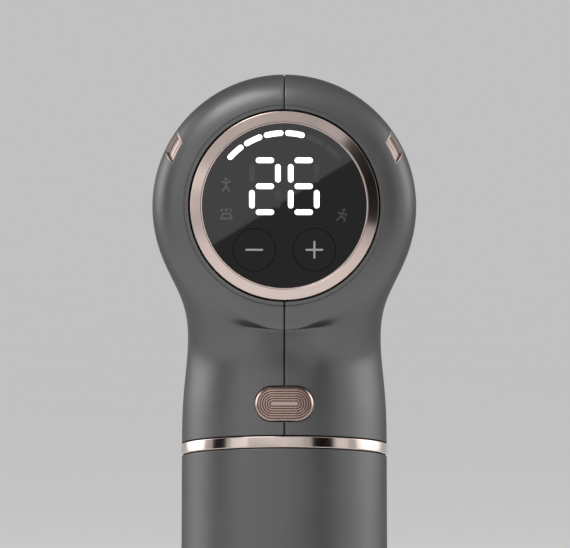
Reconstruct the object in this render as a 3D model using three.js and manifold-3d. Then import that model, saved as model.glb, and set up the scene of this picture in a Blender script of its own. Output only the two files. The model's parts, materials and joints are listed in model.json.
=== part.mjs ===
// Handheld percussion massage gun with a hot and cold head, in millimetres, +Z up.
// The origin is the centre of the flat foot. The display faces -Y and the massage head points to +Y.
import * as THREE from "three";
import { mergeVertices } from "three/addons/utils/BufferGeometryUtils.js";
import Module from "manifold-3d";

const wasm = await Module();
wasm.setup();

// Driving dimensions
const clearance = 0.3; // between pieces that touch, and round pieces that run
const overrun = 1; // how far a cut runs past the face that it opens
const fine = 28; // sides of the large rounds
const coarse = 16; // sides of the small rounds
const tiny = 10; // sides of pins, screws and posts
const arcSteps = 6; // steps along each rounded stretch of a profile

const lens = { radius: 18.95, thickness: 1.6, proud: 0.2 };
const barrel = { rim: 8.95, rear: -15, wall: 2.4, noseLength: 22.2, shoulder: 6.5 };
const handle = { radius: 24.2, rake: 7.2, flare: 1, flareShare: 0.8, wall: 2.2 };
const neck = { rear: -9.8, waist: 1.85, flankShare: 1.025 };
const band = { height: 2.6, proud: 0.15 };
const stroke = 7;
const cell = { length: 65, margin: 2.00355, nub: 3.2, nubHeight: 0.8 };

// Smaller sizes, by piece
const bezel = { width: 2.55, height: 4.6, crown: 1.2, lip: 1.2 };
const key = {
  radius: 5.05, spread: 6.9, inset: 8.8, proud: 0.3, flange: 0.85, flangeHeight: 0.55,
  stem: 1.6, stemLength: 0.7, travel: 0.6,
};
const keySwitch = { width: 5, height: 1.6, plunger: 1.2 };
const housing = {
  inset: 0.8, wall: 1.4, floor: 1.2, height: 5.8, slotWidth: 10, slotHeight: 4, slotDrop: 10,
};
const displayBoard = { thickness: 1.5 };
const guide = { inset: 1.65 };
const bulkhead = { bore: 14, thickness: 2 };
const fan = {
  side: 25, depth: 6, headroom: 8.65, bore: 11.6, hub: 5, plate: 1.2, strut: 1.6, blades: 7,
  bladeReach: 6, bladeChord: 3.6, bladeThickness: 0.8, pitch: 35, impellerDepth: 4, hubPlate: 4.4,
};
const vent = { width: 5.3, length: 11, start: 2, lean: 27, skew: 4, fins: 4, slot: 0.6, rim: 0.8, depth: 5 };
const pill = {
  width: 13.4, height: 7.93, rise: 7.2, proud: 0.35, flange: 0.8, flangeHeight: 1.1, inset: 5,
  stem: 1.5, stemLength: 0.7, travel: 0.8,
};
const powerSwitch = { width: 6, height: 3.2, plunger: 1.4 };
const motor = {
  middle: 15, radius: 15.5, bellWall: 2.6, bellTop: 2, bellHeight: 17, bellGap: 2.1,
  shaft: 2, baseInset: 1.5, baseHeight: 1.6, tube: 4.8, tubeBore: 3.9, tubeHeight: 15.5,
  teeth: 9, tooth: 3, toothHead: 1.6, core: 6.6, stack: 12, coil: 5.6,
};
const bearing = { outer: 3.6, width: 2.5 };
const crank = { radius: 8.5, thickness: 3, pin: 1.7, rise: 5, weightShare: 0.35 };
const roller = { outer: 3.5, width: 6.2 };
const yoke = { wall: 2.2, height: 6.8, slack: 0.75, spigot: 3.4, spigotLength: 5 };
const rod = { radius: 7, reach: 7, boreDepth: 20, rearDepth: 6 };
const bush = { wall: 2.2 };
const chassis = {
  overhang: 1, thickness: 2.5, wallHalf: 13, wallTop: 11, tongue: 5.5, step: 3.4, gusset: 2, gussetShare: 0.6,
  tubeWall: 2, tubeGap: 2.7, lip: 1.5, gap: 0.5,
};
const damper = { thickness: 1.9, width: 4, back: 8.3 };
const ledge = { bore: 14, thickness: 2.3 };
const rib = { thickness: 2.5 };
const collar = { outer: 22, flange: 2, flangeHeight: 2.4, proud: 0.9, round: 0.7 };
const rodSeal = { thickness: 5.7, width: 3, lip: 1 };
const contact = { thickness: 2, pin: 0.9, pinLength: 1, spread: 2.2 };
const stem = { radius: 4.6, flange: 11, flangeHeight: 3.2, groove: 0.75, ringAt: 7.5, ringWidth: 1.6 };
const head = { radius: 23, wall: 2, back: 2.2, depth: 16.2, wire: 3, slots: 8, slotWidth: 4, slotLength: 5 };
const sink = { base: 2.5, fin: 1.2, pitch: 4.6, finLength: 6.6, fins: 7 };
const cooler = { side: 22, thickness: 3.4 };
const plate = { inset: 0.4, rim: 1.2, spigot: 0.8, dome: 4.8, middle: 12, middleRise: 0.6 };
const screw = {
  shank: 1.2, head: 2.6, headHeight: 1.8, length: 22, seat: 5, post: 3.6, inset: 0.5, rear: 7, front: 25,
  low: 31, lift: 2.6, highShare: 0.72, lowShare: 0.69,
};
const spigot = { wall: 2, length: 7.8, root: 1.8 };
const cap = { height: 9.7, plug: 4.3, plugWall: 2, floor: 2.5, wall: 7.7, ledge: 1.4, sole: 0.5 };
const pad = { margin: 2.2, recess: 1.3, bevel: 0.3, land: 5, grooveWidth: 1, grooveDepth: 0.5 };
const holder = { thickness: 4, recess: 2, rail: 2.5, railWidth: 20, railWall: 1.2, hub: 2.4 };
const chargeBoard = { thickness: 1.2 };
const port = {
  width: 9, height: 3.2, length: 7.3, wall: 0.4, depth: 6, tongue: 0.7, tongueWidth: 6.6, rear: 0.4,
};
const mainBoard = {
  sideGap: 6.7, thickness: 1.4, rearGap: 7.7, length: 25.3, headroom: 0.8, chips: 3, chip: 5, chipHeight: 1.6,
  cap: 2.6, capHeight: 6,
};
const lead = { radius: 0.9, sides: 4, steps: 16, way: 2.4, reach: 9 };
const weldReach = 1e-4; // vertices nearer than this are one

// Places that follow from the sizes above
const rake = THREE.MathUtils.degToRad(handle.rake);
const bezelRadius = lens.radius + clearance + bezel.width;
const barrelRadius = bezelRadius + barrel.rim;
const sleeveBore = handle.radius - handle.wall;
const spigotOuter = sleeveBore - clearance;
const spigotBore = spigotOuter - spigot.wall;
const lowerHolderBottom = cap.height + cap.plug + clearance;
const cellBottom = lowerHolderBottom + holder.thickness - holder.recess + clearance;
const upperHolderBottom = cellBottom + cell.length + clearance - holder.recess;
const upperHolderTop = upperHolderBottom + holder.thickness;
const spigotBottom = upperHolderTop + clearance;
const shellBottom = spigotBottom + spigot.length;
const bandMiddle = shellBottom - clearance - band.height / 2;
const sleeveTop = bandMiddle - band.height / 2 - clearance;
const motorStack = motor.bellGap + motor.bellHeight + clearance + crank.thickness + crank.rise
  + roller.width / 2;
const axisHeight = bandMiddle + mainBoard.length + mainBoard.headroom + motorStack;
const bellTop = axisHeight - roller.width / 2 - crank.rise - crank.thickness - clearance;
const bellBottom = bellTop - motor.bellHeight;
const motorBottom = bellBottom - motor.bellGap;
const pillMiddle = shellBottom + pill.rise;
const neckHalf = handle.radius - neck.waist;
const boardOffset = spigotBore - mainBoard.rearGap;
const farAway = 2 * (axisHeight + barrelRadius);
const crankRadius = stroke / 2;

// Motor base, and the drive frame round the motor
const baseRadius = motor.radius - motor.baseInset;
const plateRound = motor.radius + chassis.overhang;
const wallRear = motor.radius + chassis.gap + clearance;
const wallFront = wallRear + chassis.thickness;
const neckFront = motor.middle + wallFront + 2 * clearance + barrel.wall;

// Frames: display (x right, y up, z towards the user), nose (z along +Y), handle (z along the raked axis)
const machine = new THREE.Group();
const displayFrame = new THREE.Group();
displayFrame.position.set(0, barrel.rear, axisHeight);
displayFrame.rotation.x = Math.PI / 2;
const noseFrame = new THREE.Group();
noseFrame.position.z = axisHeight;
noseFrame.rotation.x = -Math.PI / 2;
const handleFrame = new THREE.Group();
handleFrame.rotation.x = -rake;
const motorFrame = new THREE.Group();
motorFrame.position.y = motor.middle;
machine.add(displayFrame, noseFrame, handleFrame, motorFrame);
machine.updateMatrixWorld(true);

// Finishes: colour, roughness, metalness
const finishes = {
  softGrey: [0x626365, 0.55, 0.05],
  roseGold: [0xc4a89c, 0.25, 1],
  glossBlack: [0x111214, 0.06, 0.1],
  darkPlastic: [0x2a2b2d, 0.6, 0],
  whitePlastic: [0xd9dadb, 0.5, 0],
  rubber: [0x1c1c1d, 0.9, 0],
  steel: [0x9a9da1, 0.35, 1],
  copper: [0xb06a3a, 0.4, 0.9],
  aluminium: [0xc5c8cc, 0.3, 1],
  board: [0x1d4a35, 0.5, 0.1],
  ceramic: [0xe8e6df, 0.6, 0],
  cellWrap: [0x2f6fa8, 0.45, 0.1],
};

// A geometry with positions only, its shared vertices merged, no flat faces and its faces pointing out.
function welded(geometry) {
  const bare = geometry.clone();
  bare.deleteAttribute("normal");
  bare.deleteAttribute("uv");
  const merged = mergeVertices(bare, weldReach);
  const places = merged.attributes.position.array;
  const kept = [];
  for (let i = 0; i < merged.index.count; i += 3) {
    const [a, b, c] = [0, 1, 2].map((k) => merged.index.getX(i + k));
    if (a !== b && b !== c && a !== c) kept.push(a, b, c);
  }
  const corner = (i) => new THREE.Vector3().fromArray(places, 3 * i);
  let volume = 0;
  for (let i = 0; i < kept.length; i += 3) {
    volume += corner(kept[i]).dot(corner(kept[i + 1]).cross(corner(kept[i + 2])));
  }
  if (volume < 0) kept.reverse();
  return { places: new Float32Array(places), kept: new Uint32Array(kept) };
}

function toSolid(geometry) {
  const { places, kept } = welded(geometry);
  return new wasm.Manifold(new wasm.Mesh({ numProp: 3, vertProperties: places, triVerts: kept }));
}

function toGeometry(solid) {
  const mesh = solid.getMesh();
  const geometry = new THREE.BufferGeometry();
  geometry.setAttribute("position", new THREE.BufferAttribute(mesh.vertProperties, 3));
  geometry.setIndex(new THREE.BufferAttribute(mesh.triVerts, 1));
  return geometry;
}

const combine = (verb, first, others) =>
  toGeometry(others.flat().reduce((sum, next) => sum[verb](toSolid(next)), toSolid(first)));
const join = (first, ...others) => combine("add", first, others);
const cut = (first, ...others) => combine("subtract", first, others);
const common = (first, ...others) => combine("intersect", first, others);

// Shapes in a local frame, all round z
function turned(profile, sides = fine) {
  const points = profile.map(([radius, height]) => new THREE.Vector2(radius, height));
  return new THREE.LatheGeometry(points, sides).rotateX(Math.PI / 2);
}
function disc(radius, from, to, sides = fine) {
  return turned([[0, from], [radius, from], [radius, to], [0, to]], sides);
}
function ring(inner, outer, from, to, sides = fine) {
  return turned([[inner, from], [outer, from], [outer, to], [inner, to], [inner, from]], sides);
}
function block([x0, x1], [y0, y1], [z0, z1]) {
  return new THREE.BoxGeometry(x1 - x0, y1 - y0, z1 - z0)
    .translate((x0 + x1) / 2, (y0 + y1) / 2, (z0 + z1) / 2);
}
const across = (half) => [-half, half];
function prism(shape, from, to) {
  const size = { depth: to - from, bevelEnabled: false, curveSegments: arcSteps };
  return new THREE.ExtrudeGeometry(shape, size).translate(0, 0, from);
}
const moved = (geometry, x, y, z = 0) => geometry.clone().translate(x, y, z);
const spun = (geometry, angle) => geometry.clone().rotateZ(angle);
const inFrame = (frame, geometry) => geometry.clone().applyMatrix4(frame.matrixWorld);
const fromFrame = (frame, geometry) => geometry.clone().applyMatrix4(frame.matrixWorld.clone().invert());
const repeat = (count, make) => Array.from({ length: count }, (_, i) => make(i));

function stadium(width, height) {
  const [r, run] = [height / 2, (width - height) / 2];
  const shape = new THREE.Shape();
  shape.absarc(run, 0, r, -Math.PI / 2, Math.PI / 2);
  shape.absarc(-run, 0, r, Math.PI / 2, (3 * Math.PI) / 2);
  return shape;
}

function add(frame, name, geometry, finish) {
  const [color, roughness, metalness] = finishes[finish];
  const flat = toGeometry(toSolid(geometry)).toNonIndexed();
  flat.computeVertexNormals();
  const mesh = new THREE.Mesh(flat, new THREE.MeshStandardMaterial({ color, roughness, metalness }));
  mesh.name = name;
  frame.add(mesh);
}

// The casing's surface: a barrel whose underside opens into the neck, refined from a coarse cage of
// quads in the way of Catmull and Clark. Vertices settle inside the cage by a known share on a round.
const spokes = 16;
const mouth = 2; // spokes on each side of the underside that the neck takes up
const neckRows = 4;
const turn = (2 * Math.PI) / spokes;
const settle = (2 + Math.cos(turn)) / 3;

// Rows behind and in front of the neck: a share of the shoulder or nose length, and of the radius
const shoulderShares = [[-0.18, 0.35], [-0.17, 0.66], [0.04, 0.865]];
const noseShares = [[0.43, 1], [0.8, 1], [0.975, 0.89], [1.01, 0.64], [1.02, 0.35]];
// Loops down the neck: a share of the way from the barrel's underside to the band, of the rake and of
// the change from neck width to handle radius
const loopShares = [[0.1, 0, 0.15], [0.4, 0.5, 0.55], [0.72, 1, 1], [1.15, 1, 1], [1.5, 1, 1]];

function casingCage(inset) {
  const points = [];
  const faces = [];
  const put = (x, y, z) => points.push([x, y, z]) - 1;
  const reach = (barrelRadius - inset) / settle;
  const [rear, front] = [neck.rear + inset, neckFront - inset];
  const rows = [
    ...shoulderShares.map(([y, r]) => [barrel.rear + y * barrel.shoulder + inset, r]),
    ...repeat(neckRows + 1, (j) => [rear + (j / neckRows) * (front - rear), 1]),
    ...noseShares.map(([y, r]) => [neckFront + y * barrel.noseLength - inset, r]),
  ];
  const firstRow = shoulderShares.length;
  const rings = rows.map(([y, share], j) => repeat(spokes, (i) => {
    const angle = i * turn - Math.PI / 2;
    const flank = j > firstRow && j < firstRow + neckRows && (i === mouth || i === spokes - mouth);
    const r = reach * share * (flank ? neck.flankShare : 1);
    return put(r * Math.cos(angle), y, axisHeight + r * Math.sin(angle));
  }));
  const open = (j, i) => j >= firstRow && j < firstRow + neckRows && (i < mouth || i >= spokes - mouth);
  for (let j = 0; j + 1 < rings.length; j += 1) {
    for (let i = 0; i < spokes; i += 1) {
      const next = (i + 1) % spokes;
      if (!open(j, i)) faces.push([rings[j][i], rings[j][next], rings[j + 1][next], rings[j + 1][i]]);
    }
  }
  faces.push([...rings[0]].reverse(), rings[rings.length - 1]);

  const at = (j, i) => rings[firstRow + j][(i + spokes) % spokes];
  let loop = [
    ...[0, 1, 2].map((i) => at(0, i)), ...[1, 2, 3].map((j) => at(j, mouth)),
    ...[2, 1, 0, -1, -2].map((i) => at(neckRows, i)), ...[3, 2, 1].map((j) => at(j, -mouth)),
    ...[-2, -1].map((i) => at(0, i)),
  ];
  const top = axisHeight - barrelRadius;
  const bottom = shellBottom * Math.cos(rake);
  loopShares.forEach(([down, tilt, widen]) => {
    const height = top + down * (bottom - top);
    const middle = height * Math.tan(rake);
    const wide = (neckHalf + widen * (handle.radius - neckHalf) - inset) / settle;
    const next = repeat(spokes, (k) => {
      const angle = k * turn - Math.PI / 2;
      const deep = wide * Math.sin(angle);
      return put(wide * Math.cos(angle), middle + deep * Math.cos(tilt * rake),
        height - deep * Math.sin(tilt * rake));
    });
    loop.forEach((_, k) => {
      const after = (k + 1) % spokes;
      faces.push([loop[k], loop[after], next[after], next[k]]);
    });
    loop = next;
  });
  faces.push(loop);
  return { points, faces: faces.map((face) => [...face].reverse()) };
}

const average = (list) => [0, 1, 2].map((axis) => list.reduce((sum, p) => sum + p[axis], 0) / list.length);

function refined({ points, faces }) {
  const centres = faces.map((face) => average(face.map((i) => points[i])));
  const edges = new Map();
  const around = points.map(() => ({ faces: [], edges: [] }));
  faces.forEach((face, f) => face.forEach((a, k) => {
    const b = face[(k + 1) % face.length];
    const id = `${Math.min(a, b)}_${Math.max(a, b)}`;
    if (!edges.has(id)) {
      edges.set(id, { ends: [a, b], faces: [] });
      around[a].edges.push(id);
      around[b].edges.push(id);
    }
    edges.get(id).faces.push(f);
    around[a].faces.push(f);
  }));
  const moves = points.map((p, i) => {
    const n = around[i].edges.length;
    const faceMean = average(around[i].faces.map((f) => centres[f]));
    const edgeMean = average(around[i].edges.map((id) => average(edges.get(id).ends.map((e) => points[e]))));
    return p.map((value, axis) => (faceMean[axis] + 2 * edgeMean[axis] + (n - 3) * value) / n);
  });
  const made = [...moves, ...centres];
  const edgeIndex = new Map();
  edges.forEach(({ ends, faces: sides }, id) => {
    edgeIndex.set(id, made.length);
    made.push(average([...ends.map((e) => points[e]), ...sides.map((f) => centres[f])]));
  });
  const quads = [];
  faces.forEach((face, f) => face.forEach((a, k) => {
    const [b, before] = [face[(k + 1) % face.length], face[(k + face.length - 1) % face.length]];
    const id = (p, q) => edgeIndex.get(`${Math.min(p, q)}_${Math.max(p, q)}`);
    quads.push([a, id(a, b), points.length + f, id(before, a)]);
  }));
  return { points: made, faces: quads };
}

// Each vertex moved to where endless refining would take it.
function atLimit({ points, faces }) {
  const sums = points.map(() => ({ n: 0, near: [0, 0, 0], far: [0, 0, 0] }));
  faces.forEach((quad) => quad.forEach((a, k) => {
    const sum = sums[a];
    sum.n += 1;
    [0, 1, 2].forEach((axis) => {
      sum.near[axis] += points[quad[(k + 1) % quad.length]][axis];
      sum.far[axis] += points[quad[(k + 2) % quad.length]][axis];
    });
  }));
  const settled = points.map((p, i) => {
    const { n, near, far } = sums[i];
    return p.map((value, axis) => (n * n * value + 4 * near[axis] + far[axis]) / (n * (n + 5)));
  });
  return { points: settled, faces };
}

function quadGeometry({ points, faces }) {
  const geometry = new THREE.BufferGeometry();
  geometry.setAttribute("position", new THREE.Float32BufferAttribute(points.flat(), 3));
  geometry.setIndex(faces.flatMap(([first, ...rest]) =>
    rest.slice(1).flatMap((corner, i) => [first, rest[i], corner])));
  return geometry;
}

const casing = quadGeometry(atLimit(refined(casingCage(0))));
const hollow = quadGeometry(atLimit(casingCage(barrel.wall)));

// Display sizes that follow the lens, then heights along each frame's z, from what lies under each piece
const guideRadius = lens.radius - guide.inset;
const housingRadius = bezelRadius - housing.inset;
const keyDrop = lens.radius - key.inset;
const fanLift = barrelRadius - barrel.wall - fan.headroom - fan.side / 2;
const lensBack = lens.proud - lens.thickness;
const bezelBack = bezel.crown - bezel.height;
const housingFront = bezelBack - clearance;
const housingBack = housingFront - housing.height;
const boardBack = housingBack + housing.floor + clearance;
const boardFront = boardBack + displayBoard.thickness;
const guideBack = boardFront + clearance;
const bulkheadFront = housingBack - clearance;
const bulkheadBack = bulkheadFront - bulkhead.thickness;
const fanFront = bulkheadBack - clearance;
const fanBack = fanFront - fan.depth;
const plateTop = motorBottom - clearance;
const plateBottom = plateTop - chassis.thickness;
const rodStart = motor.middle - crankRadius + roller.outer + clearance + yoke.slack + yoke.wall + clearance;
const collarFace = neckFront + barrel.noseLength;
const collarBack = collarFace - barrel.wall - collar.flangeHeight - 4 * clearance;
const collarBore = rod.radius + 2 * clearance + rodSeal.thickness;
const collarFlange = collar.outer + collar.flange;
const tubeFront = collarBack - chassis.tubeGap;
const damperMiddle = tubeFront - damper.back;
const rodFront = collarFace + rod.reach;
const rodBore = stem.radius + clearance;
const boreBottom = rodFront - rod.boreDepth;
const bulkheadWorldBack = barrel.rear - bulkheadBack;
const bulkheadWorldLow = axisHeight - bulkhead.bore;

// Display, keys and light guide
function bezelRing() {
  const inner = lens.radius + clearance;
  const seat = lensBack - clearance;
  const lip = inner - bezel.lip - clearance;
  const middle = (inner + bezelRadius) / 2;
  const crown = repeat(arcSteps + 1, (i) => {
    const angle = (i * Math.PI) / arcSteps;
    return [middle + (bezelRadius - middle) * Math.cos(angle), bezel.crown * Math.sin(angle)];
  });
  const seated = [[inner, seat], [lip, seat], [lip, bezelBack]];
  return turned([[lip, bezelBack], [bezelRadius, bezelBack], ...crown, ...seated]);
}

const atKeys = (make) => [-1, 1].map((side) => moved(make(side), side * key.spread, -keyDrop));

function displayLens() {
  const holes = atKeys(() => disc(key.radius + clearance, lensBack - overrun, lens.proud + overrun, coarse));
  return cut(disc(lens.radius, lensBack, lens.proud), holes);
}

function keyPiece(side) {
  const back = lensBack - clearance;
  const flange = common(
    moved(disc(key.radius + key.flange, back - key.flangeHeight, back, coarse), side * key.spread, -keyDrop),
    disc(guideRadius, back - 2 * key.flangeHeight, back + overrun),
  );
  const body = [
    disc(key.radius, back - key.flangeHeight / 2, lens.proud + key.proud, coarse),
    disc(key.stem, back - key.flangeHeight - key.stemLength, back - key.flangeHeight / 2, tiny),
  ].map((piece) => moved(piece, side * key.spread, -keyDrop));
  return join(flange, body);
}

function keySwitchPiece(side) {
  const bottom = boardFront + clearance;
  const tip = lensBack - 2 * clearance - key.flangeHeight - key.stemLength - key.travel;
  return moved(join(
    block(across(keySwitch.width / 2), across(keySwitch.width / 2), [bottom, bottom + keySwitch.height]),
    disc(keySwitch.plunger, bottom, tip, tiny),
  ), side * key.spread, -keyDrop);
}

function lightGuide() {
  const hole = key.radius + key.flange + clearance;
  const holes = atKeys(() => disc(hole, guideBack - overrun, lensBack + overrun, coarse));
  return cut(disc(guideRadius, guideBack, lensBack - clearance), holes);
}

function displayHousing() {
  const slot = moved(block(across(housing.slotWidth / 2), across(housing.slotHeight / 2),
    [housingBack - overrun, housingBack + housing.floor + overrun]), 0, -housing.slotDrop);
  const room = disc(housingRadius - housing.wall, housingBack + housing.floor, housingFront + overrun);
  return cut(disc(housingRadius, housingBack, housingFront), room, slot);
}

// Cooling fan behind the bulkhead
function fanHousing() {
  const side = fan.side / 2;
  const frame = cut(
    block(across(side), across(side), [fanBack, fanFront]),
    disc(fan.bore, fanBack - overrun, fanFront + overrun),
  );
  const struts = [0, 1].map((i) => spun(
    block(across(fan.bore + overrun), across(fan.strut / 2), [fanBack, fanBack + fan.plate]),
    Math.PI / 4 + (i * Math.PI) / 2,
  ));
  return moved(join(frame, struts, disc(fan.hubPlate, fanBack, fanBack + fan.plate, coarse)), 0, fanLift);
}

function fanImpeller() {
  const bottom = fanBack + fan.plate + clearance;
  const blade = block([fan.hub - overrun, fan.hub + fan.bladeReach - clearance], across(fan.bladeChord / 2),
    across(fan.bladeThickness / 2)).rotateX(THREE.MathUtils.degToRad(fan.pitch));
  const height = bottom + fan.impellerDepth / 2;
  const blades = repeat(fan.blades, (i) => spun(moved(blade, 0, 0, height), (i * 2 * Math.PI) / fan.blades));
  return moved(join(disc(fan.hub, bottom, bottom + fan.impellerDepth, coarse), blades), 0, fanLift);
}

// Vents: windows through both sides of the barrel, each with a finned grille
function ventBox(side, shrink) {
  const width = vent.width / 2 - shrink;
  const long = vent.length - 2 * shrink;
  const shape = new THREE.Shape();
  const lean = Math.tan(THREE.MathUtils.degToRad(vent.skew)) * long;
  [[-width, 0], [width, 0], [width + lean, long], [lean - width, long]].forEach(([x, y], i) => (
    i ? shape.lineTo(x, y) : shape.moveTo(x, y)));
  const box = prism(shape, barrelRadius - vent.depth, barrelRadius + overrun)
    .translate(0, barrel.rear + vent.start + shrink, 0).rotateY(Math.PI / 2)
    .rotateY(-THREE.MathUtils.degToRad(vent.lean)).translate(0, 0, axisHeight);
  return side > 0 ? box : box.scale(-1, 1, 1);
}

function ventGrille(side) {
  const body = cut(common(casing, ventBox(side, clearance)), hollow);
  const room = vent.length - 2 * (clearance + vent.rim);
  const pitch = room / vent.fins;
  const slots = repeat(vent.fins, (i) => {
    const from = barrel.rear + vent.start + clearance + vent.rim + i * pitch + (pitch - vent.slot) / 2;
    const width = vent.width / 2 - clearance - vent.rim;
    const slot = block([barrelRadius / 2, barrelRadius + overrun], [from, from + vent.slot], across(width))
      .rotateY(-THREE.MathUtils.degToRad(vent.lean)).translate(0, 0, axisHeight);
    return side > 0 ? slot : slot.scale(-1, 1, 1);
  });
  return cut(body, slots);
}

// Power button on the raked neck: x across, y outwards is negative
const facingRear = (geometry) => geometry.clone().rotateX(Math.PI / 2);
function pillPrism(grow, from, to) {
  return facingRear(prism(stadium(pill.width + 2 * grow, pill.height + 2 * grow), from, to))
    .translate(0, 0, pillMiddle);
}
const pillBack = handle.radius - pill.inset;
const pillTail = pillBack - pill.flangeHeight - pill.stemLength;

function powerButton() {
  const face = common(
    pillPrism(0, pillBack - pill.flangeHeight / 2, handle.radius + overrun),
    disc(handle.radius + pill.proud, pillMiddle - pill.height, pillMiddle + pill.height),
  );
  const flange = pillPrism(pill.flange, pillBack - pill.flangeHeight, pillBack);
  const tail = facingRear(disc(pill.stem, pillTail, pillBack - pill.flangeHeight / 2, tiny))
    .translate(0, 0, pillMiddle);
  return join(face, flange, tail);
}

function powerSwitchPiece() {
  const bottom = boardOffset + clearance;
  const side = powerSwitch.width / 2;
  const body = block(across(side), across(side), [bottom, bottom + powerSwitch.height]);
  const plunger = disc(powerSwitch.plunger, bottom, pillTail - pill.travel - clearance, tiny);
  return facingRear(join(body, plunger)).translate(0, 0, pillMiddle);
}

// Main board, standing in rails on the upper cell holder
const boardWidth = 2 * (spigotBore - mainBoard.sideGap);
function mainBoardPiece() {
  const [rear, front] = [-boardOffset, -boardOffset + mainBoard.thickness];
  const bottom = upperHolderTop + clearance;
  const sheet = block(across(boardWidth / 2), [rear, front], [bottom, bottom + mainBoard.length]);
  const chips = repeat(mainBoard.chips, (i) => {
    const x = (i - (mainBoard.chips - 1) / 2) * (mainBoard.chip + mainBoard.chipHeight);
    const z = bottom + mainBoard.length / 2;
    return block([x - mainBoard.chip / 2, x + mainBoard.chip / 2], [front - mainBoard.thickness / 2,
      front + mainBoard.chipHeight], [z, z + mainBoard.chip]);
  });
  const cans = [-1, 1].map((side) => disc(mainBoard.cap, 0, mainBoard.capHeight, tiny).rotateX(-Math.PI / 2)
    .translate((side * boardWidth) / 4, front - mainBoard.thickness / 2, bottom + mainBoard.length / 4));
  return join(sheet, chips, cans);
}

// Motor, round its own vertical axis
const crankTop = bellTop + 2 * clearance + crank.thickness;

const motorWireHole = () => moved(disc(lead.radius + clearance, -farAway, bellBottom, tiny), 0, lead.reach);

function motorBase() {
  const profile = [
    [motor.tubeBore, motorBottom], [baseRadius, motorBottom], [baseRadius, motorBottom + motor.baseHeight],
    [motor.tube, motorBottom + motor.baseHeight], [motor.tube, motorBottom + motor.tubeHeight],
    [motor.tubeBore, motorBottom + motor.tubeHeight], [motor.tubeBore, motorBottom],
  ];
  return cut(turned(profile, coarse), motorWireHole());
}

function motorStator() {
  const bottom = bellBottom + clearance;
  const reach = motor.radius - motor.bellWall - clearance;
  const stack = [bottom, bottom + motor.stack];
  const wound = [bottom - clearance / 2, bottom + motor.stack + clearance / 2];
  const coil = [motor.core + motor.toothHead / 2, reach - (3 * motor.toothHead) / 2];
  const teeth = repeat(motor.teeth, (i) => spun(join(
    block([motor.core - overrun, reach - motor.toothHead / 2], across(motor.tooth / 2), stack),
    block(coil, across((motor.coil + motor.tooth) / 4), wound),
    common(ring(reach - motor.toothHead, reach, ...stack),
      block([0, reach], across(motor.coil / 2), stack)),
  ), (i * 2 * Math.PI) / motor.teeth));
  return join(ring(motor.tube + clearance, motor.core, ...stack, coarse), teeth);
}

function motorRotor() {
  const inner = motor.radius - motor.bellWall;
  return cut(
    disc(motor.radius, bellBottom, bellTop),
    disc(inner, bellBottom - overrun, bellTop - motor.bellTop),
    disc(motor.shaft + clearance, bellBottom, bellTop + overrun, tiny),
  );
}

function crankDisc() {
  const bottom = bellTop + clearance;
  const top = bottom + crank.thickness;
  const notch = disc(crank.radius * crank.weightShare, bottom - overrun, top + overrun, coarse);
  const relief = [-1, 1].map((side) => moved(notch, side * crank.radius, -crankRadius));
  const body = cut(disc(crank.radius, bottom, top), relief);
  const pin = disc(crank.pin, bottom + clearance, top + crank.rise + roller.width, tiny);
  return cut(join(body, moved(pin, 0, -crankRadius)),
    disc(motor.shaft + clearance, bottom - overrun, top + clearance, tiny));
}

function crankRoller() {
  const from = axisHeight - roller.width / 2;
  return moved(ring(crank.pin + clearance, roller.outer, from, from + roller.width, coarse), 0, -crankRadius);
}

function yokePiece() {
  const slotHalf = roller.outer + clearance + yoke.slack;
  const slotReach = crankRadius + roller.outer + clearance;
  const height = [axisHeight - yoke.height / 2, axisHeight + yoke.height / 2];
  const body = block(across(slotReach + yoke.wall), across(slotHalf + yoke.wall), height);
  const slot = block(across(slotReach), across(slotHalf), [height[0] - overrun, height[1] + overrun]);
  const tenon = disc(yoke.spigot, slotHalf + yoke.wall / 2, slotHalf + yoke.wall + yoke.spigotLength, coarse)
    .rotateX(-Math.PI / 2).translate(0, 0, axisHeight);
  return moved(join(cut(body, slot), tenon), 0, -crankRadius);
}

// Drive frame: a plate under the motor, a wall in front of it and a tube that holds the rod's bush
const bushOuter = rod.radius + clearance + bush.wall;
const tubeRadius = bushOuter + clearance + chassis.tubeWall;
function driveFrame() {
  const half = chassis.wallHalf;
  const seat = disc(plateRound, plateBottom, plateTop);
  const wallTop = axisHeight + chassis.wallTop;
  const floor = block(across(chassis.tongue), [0, wallFront], [plateBottom, plateTop]);
  const riser = block(across(chassis.tongue), [wallRear, wallFront], [plateBottom, wallTop]);
  const wall = block(across(half), [wallRear, wallFront], [plateTop + chassis.step, wallTop]);
  const shape = new THREE.Shape();
  shape.moveTo(wallRear + chassis.thickness / 2, plateTop + chassis.step);
  shape.lineTo(plateRound * chassis.gussetShare, plateTop - chassis.thickness / 2);
  shape.lineTo(wallRear + chassis.thickness / 2, plateTop + plateRound);
  const gussets = [-1, 1].map((side) => prism(shape, 0, chassis.gusset).rotateX(Math.PI / 2)
    .rotateZ(Math.PI / 2).translate(side > 0 ? half - chassis.gusset : -half, 0, 0));
  const onRod = (...size) => inFrame(noseFrame, disc(...size)).translate(0, -motor.middle, 0);
  const tube = onRod(tubeRadius, motor.middle + wallRear, tubeFront);
  const bore = onRod(bushOuter + clearance, motor.middle + wallRear - overrun, tubeFront - chassis.lip);
  const mouthHole = onRod(rod.radius + 2 * clearance, motor.middle, tubeFront + overrun);
  const wireway = block(across(lead.way), [-farAway, -plateRound + lead.way], across(farAway));
  return cut(join(seat, floor, riser, wall, gussets, tube), bore, mouthHole, wireway, motorWireHole());
}

function guideBush() {
  const front = tubeFront - chassis.lip - clearance;
  return ring(rod.radius + clearance, bushOuter, motor.middle + wallRear + chassis.gap, front);
}

const ringDamper = () => ring(tubeRadius + clearance, tubeRadius + clearance + damper.thickness,
  damperMiddle - damper.width / 2, damperMiddle + damper.width / 2);

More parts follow.
